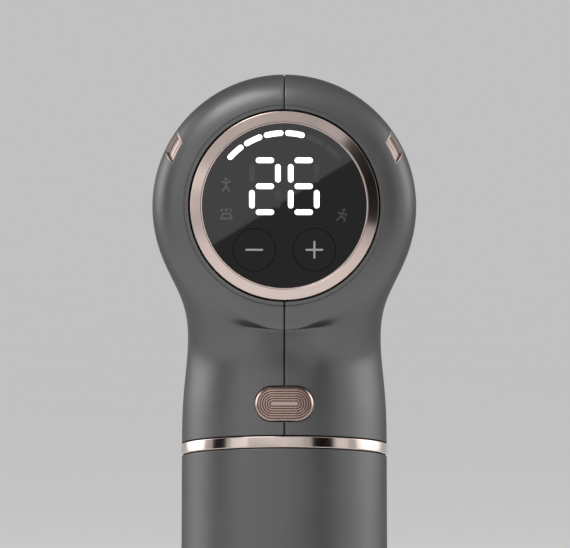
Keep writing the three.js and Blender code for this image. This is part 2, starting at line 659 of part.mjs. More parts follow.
// Piston rod with its contact block, in the nose frame
function pistonRod() {
  return cut(
    disc(rod.radius, rodStart, rodFront),
    disc(rodBore, boreBottom, rodFront + overrun, coarse),
    disc(yoke.spigot + clearance, rodStart - overrun, rodStart + rod.rearDepth, coarse),
  );
}

function contactBlock() {
  const from = boreBottom + clearance;
  const pins = [-1, 1].map((side) => moved(
    disc(contact.pin, from, from + contact.thickness + contact.pinLength, tiny), side * contact.spread, 0));
  return join(disc(rodBore - clearance, from, from + contact.thickness, coarse), pins);
}

function frontCollar() {
  const [back, front] = [collarBack, collarFace + collar.proud];
  return turned([
    [collarBore, back], [collarFlange, back], [collarFlange, back + collar.flangeHeight],
    [collar.outer, back + collar.flangeHeight], [collar.outer, front - collar.round],
    [collar.outer - collar.round, front], [collarBore + collar.round, front],
    [collarBore, front - collar.round], [collarBore, back],
  ]);
}

function rodSealPiece() {
  const from = collarBack + rodSeal.lip;
  const inner = rod.radius + clearance;
  return turned([
    [inner, from], [collarBore - clearance, from], [collarBore - clearance, from + rodSeal.width],
    [inner + rodSeal.lip, from + rodSeal.width], [inner, from + rodSeal.width - rodSeal.lip], [inner, from],
  ]);
}

// Hot and cold head, in the nose frame
const stemBack = boreBottom + 2 * clearance + contact.thickness + contact.pinLength;
const stemFront = rodFront + clearance + stem.flangeHeight;
const headBack = stemFront + clearance;
const headFront = headBack + head.depth;
const coolerFront = headFront - plate.spigot;
const coolerBack = coolerFront - cooler.thickness;
const sinkFront = coolerBack - clearance;

function headStem() {
  const groove = ring(stem.radius - stem.groove, stem.radius + overrun, stemBack + stem.ringAt,
    stemBack + stem.ringAt + stem.ringWidth, coarse);
  const body = join(disc(stem.radius, stemBack, stemFront, coarse),
    disc(stem.flange, rodFront + clearance, stemFront));
  return cut(body, groove);
}

function stemRing() {
  const inner = stem.radius - stem.groove + clearance / 2;
  const outer = rodBore - clearance / 2;
  const from = stemBack + stem.ringAt + clearance / 2;
  return ring(inner, outer, from, from + stem.ringWidth - clearance, coarse);
}

function headHousing() {
  const slot = block([head.radius - 2 * head.wall, head.radius + overrun], across(head.slotWidth / 2),
    [headBack + head.back + overrun, headBack + head.back + overrun + head.slotLength]);
  return cut(
    turned([[0, headBack], [head.radius - head.wall / 2, headBack], [head.radius, headBack + head.wall / 2],
      [head.radius, headFront], [0, headFront]]),
    disc(head.radius - head.wall, headBack + head.back, headFront + overrun),
    disc(head.wire, headBack - overrun, headBack + head.back + overrun, tiny),
    repeat(head.slots, (i) => spun(slot, ((i + 0.5) * 2 * Math.PI) / head.slots)),
  );
}

const sinkRadius = head.radius - head.wall - 2 * clearance;
function heatSink() {
  const back = sinkFront - sink.base - sink.finLength;
  const round = disc(sinkRadius, back, sinkFront - sink.base / 2);
  const fins = repeat(sink.fins, (i) => {
    const x = (i - (sink.fins - 1) / 2) * sink.pitch;
    return common(round, block([x - sink.fin / 2, x + sink.fin / 2], across(sinkRadius),
      [back, sinkFront - sink.base / 2]));
  });
  return join(disc(sinkRadius, sinkFront - sink.base, sinkFront), fins);
}

const thermoModule = () =>
  block(across(cooler.side / 2), across(cooler.side / 2), [coolerBack, coolerFront]);

function insulatorRing() {
  const side = cooler.side / 2 + clearance;
  return cut(disc(sinkRadius, coolerBack, coolerFront),
    block(across(side), across(side), [coolerBack - overrun, coolerFront + overrun]));
}

const plateRadius = head.radius - plate.inset;
function contactPlate() {
  const seat = coolerFront + clearance;
  const rim = headFront + clearance;
  const inner = head.radius - head.wall - clearance;
  const arc = repeat(arcSteps, (i) => {
    const angle = (i * Math.PI) / (2 * arcSteps);
    return [plate.middle + (plateRadius - plate.middle) * Math.cos(angle),
      rim + plate.rim + (plate.dome - plate.rim) * Math.sin(angle)];
  });
  return turned([[0, seat], [inner, seat], [inner, rim], [plateRadius, rim], ...arc,
    [0, rim + plate.dome + plate.middleRise]]);
}

// Handle, in the raked frame
const packing = 2 / Math.sqrt(3); // three rounds touch at this share of their radius from their middle
const cellRadius = (sleeveBore - cell.margin - (packing * clearance) / 2) / (1 + packing);
const cellRing = (cellRadius + clearance / 2) * packing;
const cellTurns = [90, 210, 330].map((angle) => THREE.MathUtils.degToRad(angle));
const atCells = (make) => cellTurns.map((angle) =>
  moved(make(), cellRing * Math.cos(angle), cellRing * Math.sin(angle)));

const trimRing = () => ring(sleeveBore, handle.radius + band.proud,
  bandMiddle - band.height / 2, bandMiddle + band.height / 2);

function handleSleeve() {
  const bottom = cap.height + clearance;
  const curve = repeat(arcSteps + 1, (i) => {
    const share = i / arcSteps;
    return [handle.radius + handle.flare * (1 + Math.cos(Math.PI * share)) / 2,
      bottom + share * (sleeveTop - bottom) * handle.flareShare];
  });
  return turned([[sleeveBore, bottom], ...curve, [handle.radius, sleeveTop], [sleeveBore, sleeveTop],
    [sleeveBore, bottom]]);
}

function cellPiece(angle) {
  return moved(turned([
    [0, cellBottom], [cellRadius, cellBottom], [cellRadius, cellBottom + cell.length - cell.nubHeight],
    [cell.nub, cellBottom + cell.length - cell.nubHeight], [cell.nub, cellBottom + cell.length],
    [0, cellBottom + cell.length],
  ], coarse), cellRing * Math.cos(angle), cellRing * Math.sin(angle));
}

function lowerHolder() {
  const top = lowerHolderBottom + holder.thickness;
  return cut(
    disc(sleeveBore - clearance, lowerHolderBottom, top),
    atCells(() => disc(cellRadius + clearance, top - holder.recess, top + overrun, coarse)),
    disc(holder.hub, lowerHolderBottom - overrun, top + overrun, tiny),
  );
}

function upperHolder() {
  const rear = -boardOffset;
  const inner = [rear - clearance, rear + mainBoard.thickness + clearance];
  const x = across(holder.railWidth / 2);
  const z = [upperHolderTop - clearance, upperHolderTop + holder.rail];
  const rails = [
    block(x, [inner[0] - holder.railWall, inner[0]], z),
    block(x, [inner[1], inner[1] + holder.railWall], z),
  ];
  return cut(
    join(disc(sleeveBore - clearance, upperHolderBottom, upperHolderTop), rails),
    atCells(() => disc(cellRadius + clearance, upperHolderBottom - overrun,
      upperHolderBottom + holder.recess, coarse)),
    disc(holder.hub, upperHolderBottom - overrun, upperHolderTop + overrun, tiny),
  );
}

// Base cap: raked like the handle above, cut level below
const capRadius = handle.radius + handle.flare;
const cavityRadius = capRadius - cap.wall;
const padRadius = capRadius - pad.margin;
const padGroove = padRadius - pad.land;
const chargeBottom = cap.height - cap.ledge + clearance;
const aboveLevel = (height) => fromFrame(handleFrame,
  block(across(farAway), across(farAway), [height, farAway]));

function baseCap() {
  const plugOuter = sleeveBore - clearance;
  const plugBore = plugOuter - cap.plugWall;
  const body = join(disc(capRadius, -2 * cap.plug, cap.height),
    disc(plugOuter, 0, cap.height + cap.plug));
  const ledgeTop = cap.height - cap.ledge;
  const room = join(
    common(disc(cavityRadius, -2 * cap.plug, ledgeTop + overrun), aboveLevel(cap.sole + cap.floor)),
    disc(plugBore, ledgeTop, cap.height + cap.plug + overrun),
  );
  const recess = fromFrame(handleFrame, disc(padRadius + clearance, -overrun, cap.sole + pad.recess));
  const pocket = block(across(port.width / 2 + clearance), [-capRadius - overrun, -cavityRadius + overrun],
    [chargeBottom - port.height - 2 * clearance, ledgeTop + clearance]);
  return cut(common(body, aboveLevel(cap.sole)), room, recess, pocket);
}

function basePad() {
  const top = cap.sole + pad.recess - clearance;
  const groove = ring(padGroove, padGroove + pad.grooveWidth, -overrun, pad.grooveDepth);
  const edge = [[padRadius - pad.bevel, 0], [padRadius, pad.bevel], [padRadius, top]];
  return cut(turned([[0, 0], ...edge, [0, top]]), groove);
}

const chargeBoardPiece = () => disc(sleeveBore - clearance - cap.plugWall - clearance,
  chargeBottom, chargeBottom + chargeBoard.thickness, coarse);

function chargePort() {
  const top = chargeBottom - clearance;
  const rear = -capRadius + port.rear;
  const outer = stadium(port.width, port.height);
  const inner = stadium(port.width - 2 * port.wall, port.height - 2 * port.wall);
  const place = (geometry) => facingRear(geometry).translate(0, 0, top - port.height / 2);
  const sleeve = cut(
    prism(outer, -rear - port.length, -rear),
    prism(inner, -rear - port.depth, -rear + overrun),
  );
  const tongue = block(across(port.tongueWidth / 2), across(port.tongue / 2),
    [-rear - port.depth - port.wall, -rear - port.wall]);
  return place(join(sleeve, tongue));
}

// Leads: round tubes through named points, in the frame of the piece where each one starts
function leadTube(points) {
  const path = new THREE.CatmullRomCurve3(points.map((p) => new THREE.Vector3(...p)), false, "centripetal");
  const shape = new THREE.Shape();
  shape.absarc(0, 0, lead.radius, 0, 2 * Math.PI);
  return new THREE.ExtrudeGeometry(shape, {
    steps: lead.steps, extrudePath: path, curveSegments: lead.sides, bevelEnabled: false,
  });
}

const boardFace = -boardOffset + mainBoard.thickness + clearance;
function powerLead() {
  const bottom = chargeBottom + chargeBoard.thickness + clearance;
  const top = upperHolderTop + holder.rail;
  const bend = lead.way;
  return leadTube([
    [0, 0, bottom], [0, 0, (bottom + top) / 2], [0, 0, top], [0, -bend, top + 2 * bend],
    [0, boardFace + bend, top + 3 * bend], [0, boardFace, top + 3 * bend],
  ]);
}

function displayLead() {
  const start = new THREE.Vector3(0, -housing.slotDrop, housingBack + housing.floor / 2)
    .applyMatrix4(displayFrame.matrixWorld);
  const way = motor.middle - plateRound - clearance - lead.radius + lead.way / 2 - clearance;
  const boardTop = new THREE.Vector3(0, -boardOffset + mainBoard.thickness / 2,
    upperHolderTop + mainBoard.length + 2 * clearance + lead.radius).applyMatrix4(handleFrame.matrixWorld);
  return leadTube([
    [0, start.y, start.z], [0, bulkheadWorldBack, start.z - lead.radius],
    [0, way, bulkheadWorldLow], [0, way, motorBottom], [0, way, plateBottom - ledge.thickness / 2],
    [0, boardTop.y, boardTop.z],
  ]);
}

function motorLead() {
  const board = new THREE.Vector3(0, boardFace, upperHolderTop + mainBoard.length - lead.way)
    .applyMatrix4(handleFrame.matrixWorld);
  const y = motor.middle + lead.reach;
  return leadTube([
    [0, y, bellBottom], [0, y, plateTop], [0, y, plateBottom - lead.way / 2],
    [0, (y + board.y) / 2, board.z + lead.way], [0, board.y + lead.way, board.z], [0, board.y, board.z],
  ]);
}

// Half shells: the casing less its hollow, with ribs, posts and openings
const screwPlaces = [
  [motor.middle - screw.rear, axisHeight + barrelRadius * screw.highShare],
  [motor.middle + screw.front, axisHeight + barrelRadius * screw.highShare],
  [motor.middle + screw.low, axisHeight - barrelRadius * screw.lowShare],
  [motor.middle + baseRadius, pillMiddle + screw.lift],
];
const alongX = (geometry) => geometry.clone().rotateY(Math.PI / 2);
function screwSeat([y, z]) {
  const rise = z - axisHeight;
  const onBarrel = Math.abs(rise) < barrelRadius;
  const radius = onBarrel ? barrelRadius : handle.radius;
  const offset = onBarrel ? rise : y - z * Math.tan(rake);
  return -(Math.sqrt(radius * radius - offset * offset) - screw.seat);
}

function casingShell() {
  const outer = barrelRadius + overrun;
  const post = alongX(disc(screw.post, -farAway, farAway, tiny));
  const posts = screwPlaces.map(([y, z]) => moved(post, 0, y, z));
  const ribs = [
    inFrame(displayFrame, ring(bulkhead.bore, outer, bulkheadBack, bulkheadFront)),
    inFrame(noseFrame, ring(tubeRadius + damper.thickness + 2 * clearance, outer,
      damperMiddle - damper.width / 2, damperMiddle + damper.width / 2)),
    inFrame(noseFrame, ring(collarBore + collar.flangeHeight, outer,
      collarBack - clearance - rib.thickness, collarBack - clearance)),
    inFrame(motorFrame, ring(ledge.bore, outer + neckFront, plateBottom - clearance - ledge.thickness,
      plateBottom - clearance)),
  ];
  const wireway = block(across(lead.way), [neck.rear + barrel.wall, motor.middle], across(farAway));
  const walled = cut(casing, cut(hollow, ribs.slice(0, 3), cut(ribs[3], wireway), posts));
  const root = turned([
    [spigotBore, spigotBottom], [spigotOuter, spigotBottom], [spigotOuter, shellBottom],
    [handle.radius - barrel.wall / 2, shellBottom + clearance],
    [handle.radius - barrel.wall / 2, shellBottom + spigot.root], [spigotBore, shellBottom + spigot.root],
    [spigotBore, spigotBottom],
  ]);
  const below = disc(2 * handle.radius, -farAway, shellBottom, coarse);
  return join(cut(walled,
    inFrame(handleFrame, below),
    inFrame(displayFrame, disc(bezelRadius + clearance, bezelBack - overrun, barrel.shoulder)),
    inFrame(displayFrame, disc(housingRadius + clearance, bulkheadFront, 0)),
    inFrame(noseFrame, disc(collar.outer + clearance, collarBack, collarFace + barrel.wall)),
    inFrame(noseFrame, disc(collarFlange + clearance, collarBack - clearance,
      collarBack + collar.flangeHeight + clearance)),
    inFrame(handleFrame, pillPrism(clearance, pillBack - overrun, handle.radius + 2 * overrun)),
    [-1, 1].map((side) => ventBox(side, 0)),
  ), inFrame(handleFrame, root));
}

function shellHalf(shell, side) {
  const inner = clearance / 2;
  const space = block(side > 0 ? [inner, farAway] : [-farAway, -inner], across(farAway), [-farAway, farAway]);
  const holes = screwPlaces.flatMap((place) => {
    const [y, z] = place;
    const seat = screwSeat(place);
    const shank = disc(screw.shank + clearance, seat - overrun, seat + screw.length + clearance, tiny);
    const recess = disc(screw.head + clearance, -farAway, seat, tiny);
    return [shank, recess].map((hole) => alongX(hole).translate(0, y, z));
  });
  return cut(common(shell, space), holes);
}

function shellScrew(place) {
  const [y, z] = place;
  const seat = screwSeat(place);
  const head = seat - clearance;
  const slot = block(across(screw.head + overrun), across(screw.inset / 2),
    [head - screw.headHeight - overrun, head - screw.headHeight + screw.inset]);
  return alongX(cut(
    join(disc(screw.head, head - screw.headHeight, head, tiny),
      disc(screw.shank, head - screw.inset, head + screw.length, tiny)),
    slot,
  )).translate(0, y, z);
}

// Assembly
const shell = casingShell();
add(machine, "left_shell", shellHalf(shell, -1), "softGrey");
add(machine, "right_shell", shellHalf(shell, 1), "softGrey");
screwPlaces.forEach((place, i) => add(machine, `shell_screw_${i + 1}`, shellScrew(place), "steel"));
add(machine, "left_vent_grille", ventGrille(-1), "roseGold");
add(machine, "right_vent_grille", ventGrille(1), "roseGold");

add(displayFrame, "bezel_ring", bezelRing(), "roseGold");
add(displayFrame, "display_lens", displayLens(), "glossBlack");
add(displayFrame, "minus_button", keyPiece(-1), "glossBlack");
add(displayFrame, "plus_button", keyPiece(1), "glossBlack");
add(displayFrame, "minus_switch", keySwitchPiece(-1), "steel");
add(displayFrame, "plus_switch", keySwitchPiece(1), "steel");
add(displayFrame, "light_guide", lightGuide(), "whitePlastic");
add(displayFrame, "display_board",
  disc(housingRadius - housing.wall - clearance, boardBack, boardFront), "board");
add(displayFrame, "display_housing", displayHousing(), "darkPlastic");
add(displayFrame, "fan_housing", fanHousing(), "darkPlastic");
add(displayFrame, "fan_impeller", fanImpeller(), "darkPlastic");

add(motorFrame, "motor_base", motorBase(), "aluminium");
add(motorFrame, "motor_stator", motorStator(), "copper");
add(motorFrame, "motor_rotor", motorRotor(), "steel");
add(motorFrame, "motor_shaft",
  disc(motor.shaft, motorBottom + clearance, crankTop - clearance, tiny), "steel");
["lower_bearing", "upper_bearing"].forEach((name, i) => {
  const room = motor.tubeHeight - bearing.width - 2 * clearance;
  const from = motorBottom + clearance + i * room;
  add(motorFrame, name,
    ring(motor.shaft + clearance, bearing.outer, from, from + bearing.width, coarse), "steel");
});
add(motorFrame, "crank_disc", crankDisc(), "steel");
add(motorFrame, "crank_roller", crankRoller(), "steel");
add(motorFrame, "piston_yoke", yokePiece(), "aluminium");
add(motorFrame, "drive_frame", driveFrame(), "darkPlastic");

add(noseFrame, "guide_bush", guideBush(), "whitePlastic");
add(noseFrame, "frame_damper", ringDamper(), "rubber");
add(noseFrame, "piston_rod", pistonRod(), "aluminium");
add(noseFrame, "rod_contact", contactBlock(), "darkPlastic");
add(noseFrame, "front_collar", frontCollar(), "roseGold");
add(noseFrame, "rod_seal", rodSealPiece(), "rubber");
add(noseFrame, "head_stem", headStem(), "darkPlastic");
add(noseFrame, "stem_o_ring", stemRing(), "rubber");
add(noseFrame, "head_housing", headHousing(), "softGrey");
add(noseFrame, "heat_sink", heatSink(), "aluminium");
add(noseFrame, "thermo_module", thermoModule(), "ceramic");
add(noseFrame, "insulator_ring", insulatorRing(), "whitePlastic");
add(noseFrame, "contact_plate", contactPlate(), "aluminium");

add(handleFrame, "power_button", powerButton(), "roseGold");
add(handleFrame, "power_switch", powerSwitchPiece(), "steel");
add(handleFrame, "main_board", mainBoardPiece(), "board");
add(handleFrame, "trim_ring", trimRing(), "roseGold");
add(handleFrame, "handle_sleeve", handleSleeve(), "softGrey");
add(handleFrame, "upper_cell_holder", upperHolder(), "darkPlastic");
add(handleFrame, "lower_cell_holder", lowerHolder(), "darkPlastic");
cellTurns.forEach((angle, i) => add(handleFrame, `battery_cell_${i + 1}`, cellPiece(angle), "cellWrap"));
add(handleFrame, "base_cap", baseCap(), "softGrey");
add(handleFrame, "charge_board", chargeBoardPiece(), "board");
add(handleFrame, "charge_port", chargePort(), "steel");
add(machine, "base_pad", basePad(), "rubber");
add(handleFrame, "power_lead", powerLead(), "rubber");
add(machine, "display_lead", displayLead(), "rubber");
add(machine, "motor_lead", motorLead(), "rubber");

export default machine;
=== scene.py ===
"""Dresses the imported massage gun: smooth casing, display, trim, massage head, studio and camera.

Meshes are built in millimetres, in the frame of the sub-assembly that carries them, and are brought
into the row frame in metres when they are handed over.
"""

import json
import logging
import math
from collections.abc import Callable, Iterable, Iterator, Sequence
from contextlib import contextmanager
from dataclasses import dataclass, field
from enum import Enum

import bmesh
import bpy
from mathutils import Matrix, Vector


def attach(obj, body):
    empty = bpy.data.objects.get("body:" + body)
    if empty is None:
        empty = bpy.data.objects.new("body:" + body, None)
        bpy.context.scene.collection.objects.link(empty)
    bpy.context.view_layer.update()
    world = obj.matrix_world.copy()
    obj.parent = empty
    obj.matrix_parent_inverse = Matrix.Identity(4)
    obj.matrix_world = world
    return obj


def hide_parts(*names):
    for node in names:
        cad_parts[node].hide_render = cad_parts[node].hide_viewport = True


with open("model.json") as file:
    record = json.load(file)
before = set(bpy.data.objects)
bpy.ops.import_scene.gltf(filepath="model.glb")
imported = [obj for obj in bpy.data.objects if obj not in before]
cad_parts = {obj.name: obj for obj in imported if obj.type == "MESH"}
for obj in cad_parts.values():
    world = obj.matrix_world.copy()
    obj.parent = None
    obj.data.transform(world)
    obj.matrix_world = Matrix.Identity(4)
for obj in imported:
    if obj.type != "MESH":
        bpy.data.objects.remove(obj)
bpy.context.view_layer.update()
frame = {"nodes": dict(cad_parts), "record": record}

LOG = logging.getLogger("massage_gun")

Point = tuple[float, float]
Place = tuple[float, float, float]
Mesh = bpy.types.Object
Tree = bpy.types.NodeTree
Socket = bpy.types.NodeSocket
Shader = bpy.types.ShaderNode

# A millimetre in metres, then the shared sizes in millimetres
MILLIMETRE = 0.001
CLEARANCE = 0.3
OVERRUN = 1.0
FAR = 400.0
WELD = 0.0005

# Steps round a form, the turns from which an edge is sharp or gets rounded, and how much a large face
# counts in the direction of the edges round it
ROUND_STEPS = 128
KEY_STEPS = 64
SMALL_STEPS = 40
ARC_STEPS = 8
SMOOTH_ANGLE = math.radians(32)
ROUNDED_ANGLE = math.radians(40)
FLAT_WEIGHT = 95


@dataclass(frozen=True)
class Barrel:
    """The round upper part of the casing, along Y."""

    radius: float = 30.75
    axis: float = 147.0
    rear: float = -15.0
    wall: float = 2.4
    nose: float = 22.2
    shoulder: float = 6.5


@dataclass(frozen=True)
class Grip:
    """The raked round handle and the trim band that parts it from the neck."""

    radius: float = 24.2
    rake: float = math.radians(7.2)
    flare: float = 1.0
    flare_share: float = 0.8
    wall: float = 2.2
    band: float = 2.6
    band_middle: float = 90.4
    band_proud: float = 0.15
    joint: float = 0.18
    cap: float = 9.7
    sole: float = 0.5

    @property
    def shell_bottom(self) -> float:
        """Where the half shells end, above the band."""
        return self.band_middle + self.band / 2 + CLEARANCE

    @property
    def sleeve_top(self) -> float:
        """Where the sleeve ends, below the band."""
        return self.band_middle - self.band / 2 - self.joint


BARREL = Barrel()
GRIP = Grip()

QUARTER = math.pi / 2
QUARTER_ARC = [(math.cos(i * QUARTER / ARC_STEPS), math.sin(i * QUARTER / ARC_STEPS))
               for i in range(ARC_STEPS + 1)]
ROW_FRAME = Matrix.Identity(4)
DISPLAY_FRAME = Matrix.Translation((0, BARREL.rear, BARREL.axis)) @ Matrix.Rotation(QUARTER, 4, "X")
NOSE_FRAME = Matrix.Translation((0, 0, BARREL.axis)) @ Matrix.Rotation(-QUARTER, 4, "X")
GRIP_FRAME = Matrix.Rotation(-GRIP.rake, 4, "X")


# Modelling helpers


def deselect() -> None:
    """Leaves nothing selected."""
    bpy.ops.object.select_all(action="DESELECT")


def activate(obj: Mesh) -> None:
    """Selects one object alone and makes it the active one.

    Args:
        obj: The object.
    """
    deselect()
    obj.select_set(True)
    bpy.context.view_layer.objects.active = obj


@contextmanager
def editing(obj: Mesh, select: str = "VERT") -> Iterator[None]:
    """Opens one object in edit mode with all of it selected.

    Args:
        obj: The object to edit.
        select: The selection mode, VERT, EDGE or FACE.

    Yields:
        Nothing. Object mode is back afterwards.
    """
    activate(obj)
    bpy.ops.object.mode_set(mode="EDIT")
    bpy.ops.mesh.select_mode(type=select)
    bpy.ops.mesh.select_all(action="SELECT")
    try:
        yield
    finally:
        bpy.ops.object.mode_set(mode="OBJECT")


def tidy_faces(obj: Mesh) -> Mesh:
    """Merges doubled vertices and turns every face outwards.

    Args:
        obj: The object.

    Returns:
        The object.
    """
    with editing(obj):
        bpy.ops.mesh.remove_doubles(threshold=WELD)
        bpy.ops.mesh.normals_make_consistent(inside=False)
    return obj


def moved(obj: Mesh, place: Matrix) -> Mesh:
    """Brings a mesh to its place, with its object left at the origin.

    Args:
        obj: The object.
        place: The frame that its mesh is brought to.

    Returns:
        The object.
    """
    obj.data.transform(place)
    obj.data.update()
    return obj


def applied(obj: Mesh, kind: str, **settings: object) -> Mesh:
    """Adds a modifier to an object and applies it.

    Args:
        obj: The object.
        kind: The modifier's type.
        **settings: The modifier's settings, by name.

    Returns:
        The object.
    """
    activate(obj)
    modifier = obj.modifiers.new(kind, kind)
    for name, value in settings.items():
        setattr(modifier, name, value)
    bpy.ops.object.modifier_apply(modifier=modifier.name)
    return obj


def outline(name: str, points: Sequence[Place], filled: bool) -> Mesh:
    """Makes a closed outline through the given points.

    Args:
        name: The object's name.
        points: The corners, in order.
        filled: Whether one face fills the outline.

    Returns:
        The object.
    """
    deselect()
    fill = "NGON" if filled else "NOTHING"
    bpy.ops.mesh.primitive_circle_add(vertices=len(points), fill_type=fill)
    obj = bpy.context.object
    obj.name = name
    for vertex, point in zip(obj.data.vertices, points):
        vertex.co = point
    return obj


def turned(name: str, profile: Sequence[Point], place: Matrix = ROW_FRAME,
           steps: int = ROUND_STEPS) -> Mesh:
    """Spins a closed profile of (radius, height) corners about the local z axis.

    Args:
        name: The object's name.
        profile: The corners, in order.
        place: The frame that the mesh is brought to.
        steps: How many steps go round.

    Returns:
        The closed solid.
    """
    obj = outline(name, [(radius, 0, height) for radius, height in profile], False)
    with editing(obj):
        bpy.ops.mesh.spin(steps=steps, angle=2 * math.pi, center=(0, 0, 0), axis=(0, 0, 1))
    return moved(tidy_faces(obj), place)


def slab(name: str, points: Sequence[Point], low: float, high: float, place: Matrix = ROW_FRAME) -> Mesh:
    """Extrudes a filled outline along the local z axis.

    Args:
        name: The object's name.
        points: The outline's (x, y) corners.
        low: Where the slab starts.
        high: Where it ends.
        place: The frame that the mesh is brought to.

    Returns:
        The closed solid.
    """
    obj = outline(name, [(x, y, low) for x, y in points], True)
    with editing(obj):
        bpy.ops.mesh.extrude_region_move(TRANSFORM_OT_translate={"value": (0, 0, high - low)})
    return moved(tidy_faces(obj), place)


def disc(name: str, radius: float, low: float, high: float, place: Matrix = ROW_FRAME,
         steps: int = ROUND_STEPS) -> Mesh:
    """Makes a plain round solid about the local z axis, used as a tool or a blank."""
    return turned(name, [(0, low), (radius, low), (radius, high), (0, high)], place, steps)


def ring(name: str, inner: float, outer: float, low: float, high: float,
         place: Matrix = ROW_FRAME) -> Mesh:
    """Makes a plain round tube about the local z axis."""
    return turned(name, [(inner, low), (outer, low), (outer, high), (inner, high)], place)


def box_corners(half_x: float, half_y: float) -> list[Point]:
    """Gives the corners of a centred rectangle."""
    return [(-half_x, -half_y), (half_x, -half_y), (half_x, half_y), (-half_x, half_y)]


def stadium(width: float, height: float, steps: int = SMALL_STEPS) -> list[Point]:
    """Gives the outline of a bar with round ends.

    Args:
        width: From end to end.
        height: Across the bar.
        steps: Steps on the whole outline.

    Returns:
        The (x, y) corners, anticlockwise.
    """
    radius, run = height / 2, (width - height) / 2
    points = []
    for side, start in ((1, -QUARTER), (-1, QUARTER)):
        for i in range(steps // 2 + 1):
            angle = start + i * math.pi / (steps // 2)
            points.append((side * run + radius * math.cos(angle), radius * math.sin(angle)))
    return points


class Operation(Enum):
    """What a tool does to a blank."""

    CUT = "DIFFERENCE"
    KEEP = "INTERSECT"
    JOIN = "UNION"


def worked(blank: Mesh, tools: Iterable[Mesh], operation: Operation = Operation.CUT) -> Mesh:
    """Cuts, keeps or joins a blank with each tool in turn, and clears the tools away.

    Args:
        blank: The object that changes.
        tools: The tools.
        operation: What each tool does.

    Returns:
        The blank.
    """
    for tool in tools:
        applied(blank, "BOOLEAN", operation=operation.value, solver="MANIFOLD", object=tool)
        bpy.data.objects.remove(tool)
    return blank


def copied(obj: Mesh, name: str) -> Mesh:
    """Makes a copy with its own mesh.

    Args:
        obj: The object.
        name: The copy's name.

    Returns:
        The copy.
    """
    twin = obj.copy()
    twin.data = obj.data.copy()
    twin.name = name
    bpy.context.scene.collection.objects.link(twin)
    return twin


def sunk(skin: Mesh, name: str, depth: float) -> Mesh:
    """Makes a copy of a closed form that lies deeper all over.

    Args:
        skin: The closed form.
        name: The copy's name.
        depth: How much deeper it lies.

    Returns:
        The copy.
    """
    layer = copied(skin, name)
    with editing(layer):
        bpy.ops.transform.shrink_fatten(value=-depth)
    return layer


def softened(obj: Mesh, width: float, segments: int = 3) -> Mesh:
    """Rounds the sharp edges of a piece.

    Args:
        obj: The piece.
        width: How wide each rounded edge is.
        segments: Steps across it.

    Returns:
        The piece.
    """
    return applied(obj, "BEVEL", width=width, segments=segments, limit_method="ANGLE",
                   angle_limit=ROUNDED_ANGLE)


def joined(parts: Sequence[Mesh], name: str) -> Mesh:
    """Makes one object of several.

    Args:
        parts: The objects.
        name: The new object's name.

    Returns:
        The object.
    """
    activate(parts[0])
    for part in parts:
        part.select_set(True)
    bpy.ops.object.join()
    parts[0].name = name
    return parts[0]


def stands_at(vertex: bmesh.types.BMVert, points: Iterable[Vector]) -> bool:
    """Tells whether a vertex stands at one of the given points."""
    return any((vertex.co - point).length < WELD for point in points)


def select_where(obj: Mesh, wanted: Callable[[bmesh.types.BMEdge], bool]) -> None:
    """Selects the edges that pass a test, and nothing else.

    Args:
        obj: The object, in edit mode.
        wanted: The test.
    """
    mesh = bmesh.from_edit_mesh(obj.data)
    for edge in mesh.edges:
        edge.select_set(False)
    for edge in [edge for edge in mesh.edges if wanted(edge)]:
        edge.select_set(True)
    bmesh.update_edit_mesh(obj.data)


def extruded(obj: Mesh, last: Sequence[Place], targets: Sequence[Place]) -> None:
    """Extrudes the selected ring and sets each new corner.

    Args:
        obj: The object, in edit mode.
        last: Where the ring's corners are.
        targets: Where the new ones go, in the same order.
    """
    bpy.ops.mesh.extrude_region_move()
    mesh = bmesh.from_edit_mesh(obj.data)
    fresh = [vertex for vertex in mesh.verts if vertex.select]
    for start, target in zip(last, targets):
        found = min(fresh, key=lambda vertex: (vertex.co - Vector(start)).length)
        fresh.remove(found)
        found.co = target
    bmesh.update_edit_mesh(obj.data)


# Finishes


class Pattern(Enum):
    """How a finish's grain runs, as the scale of its noise along x, y and z."""

    EVEN = (1.0, 1.0, 1.0)
    ALONG = (1.0, 0.02, 1.0)
    ROUND = (1.0, 1.0, 40.0)


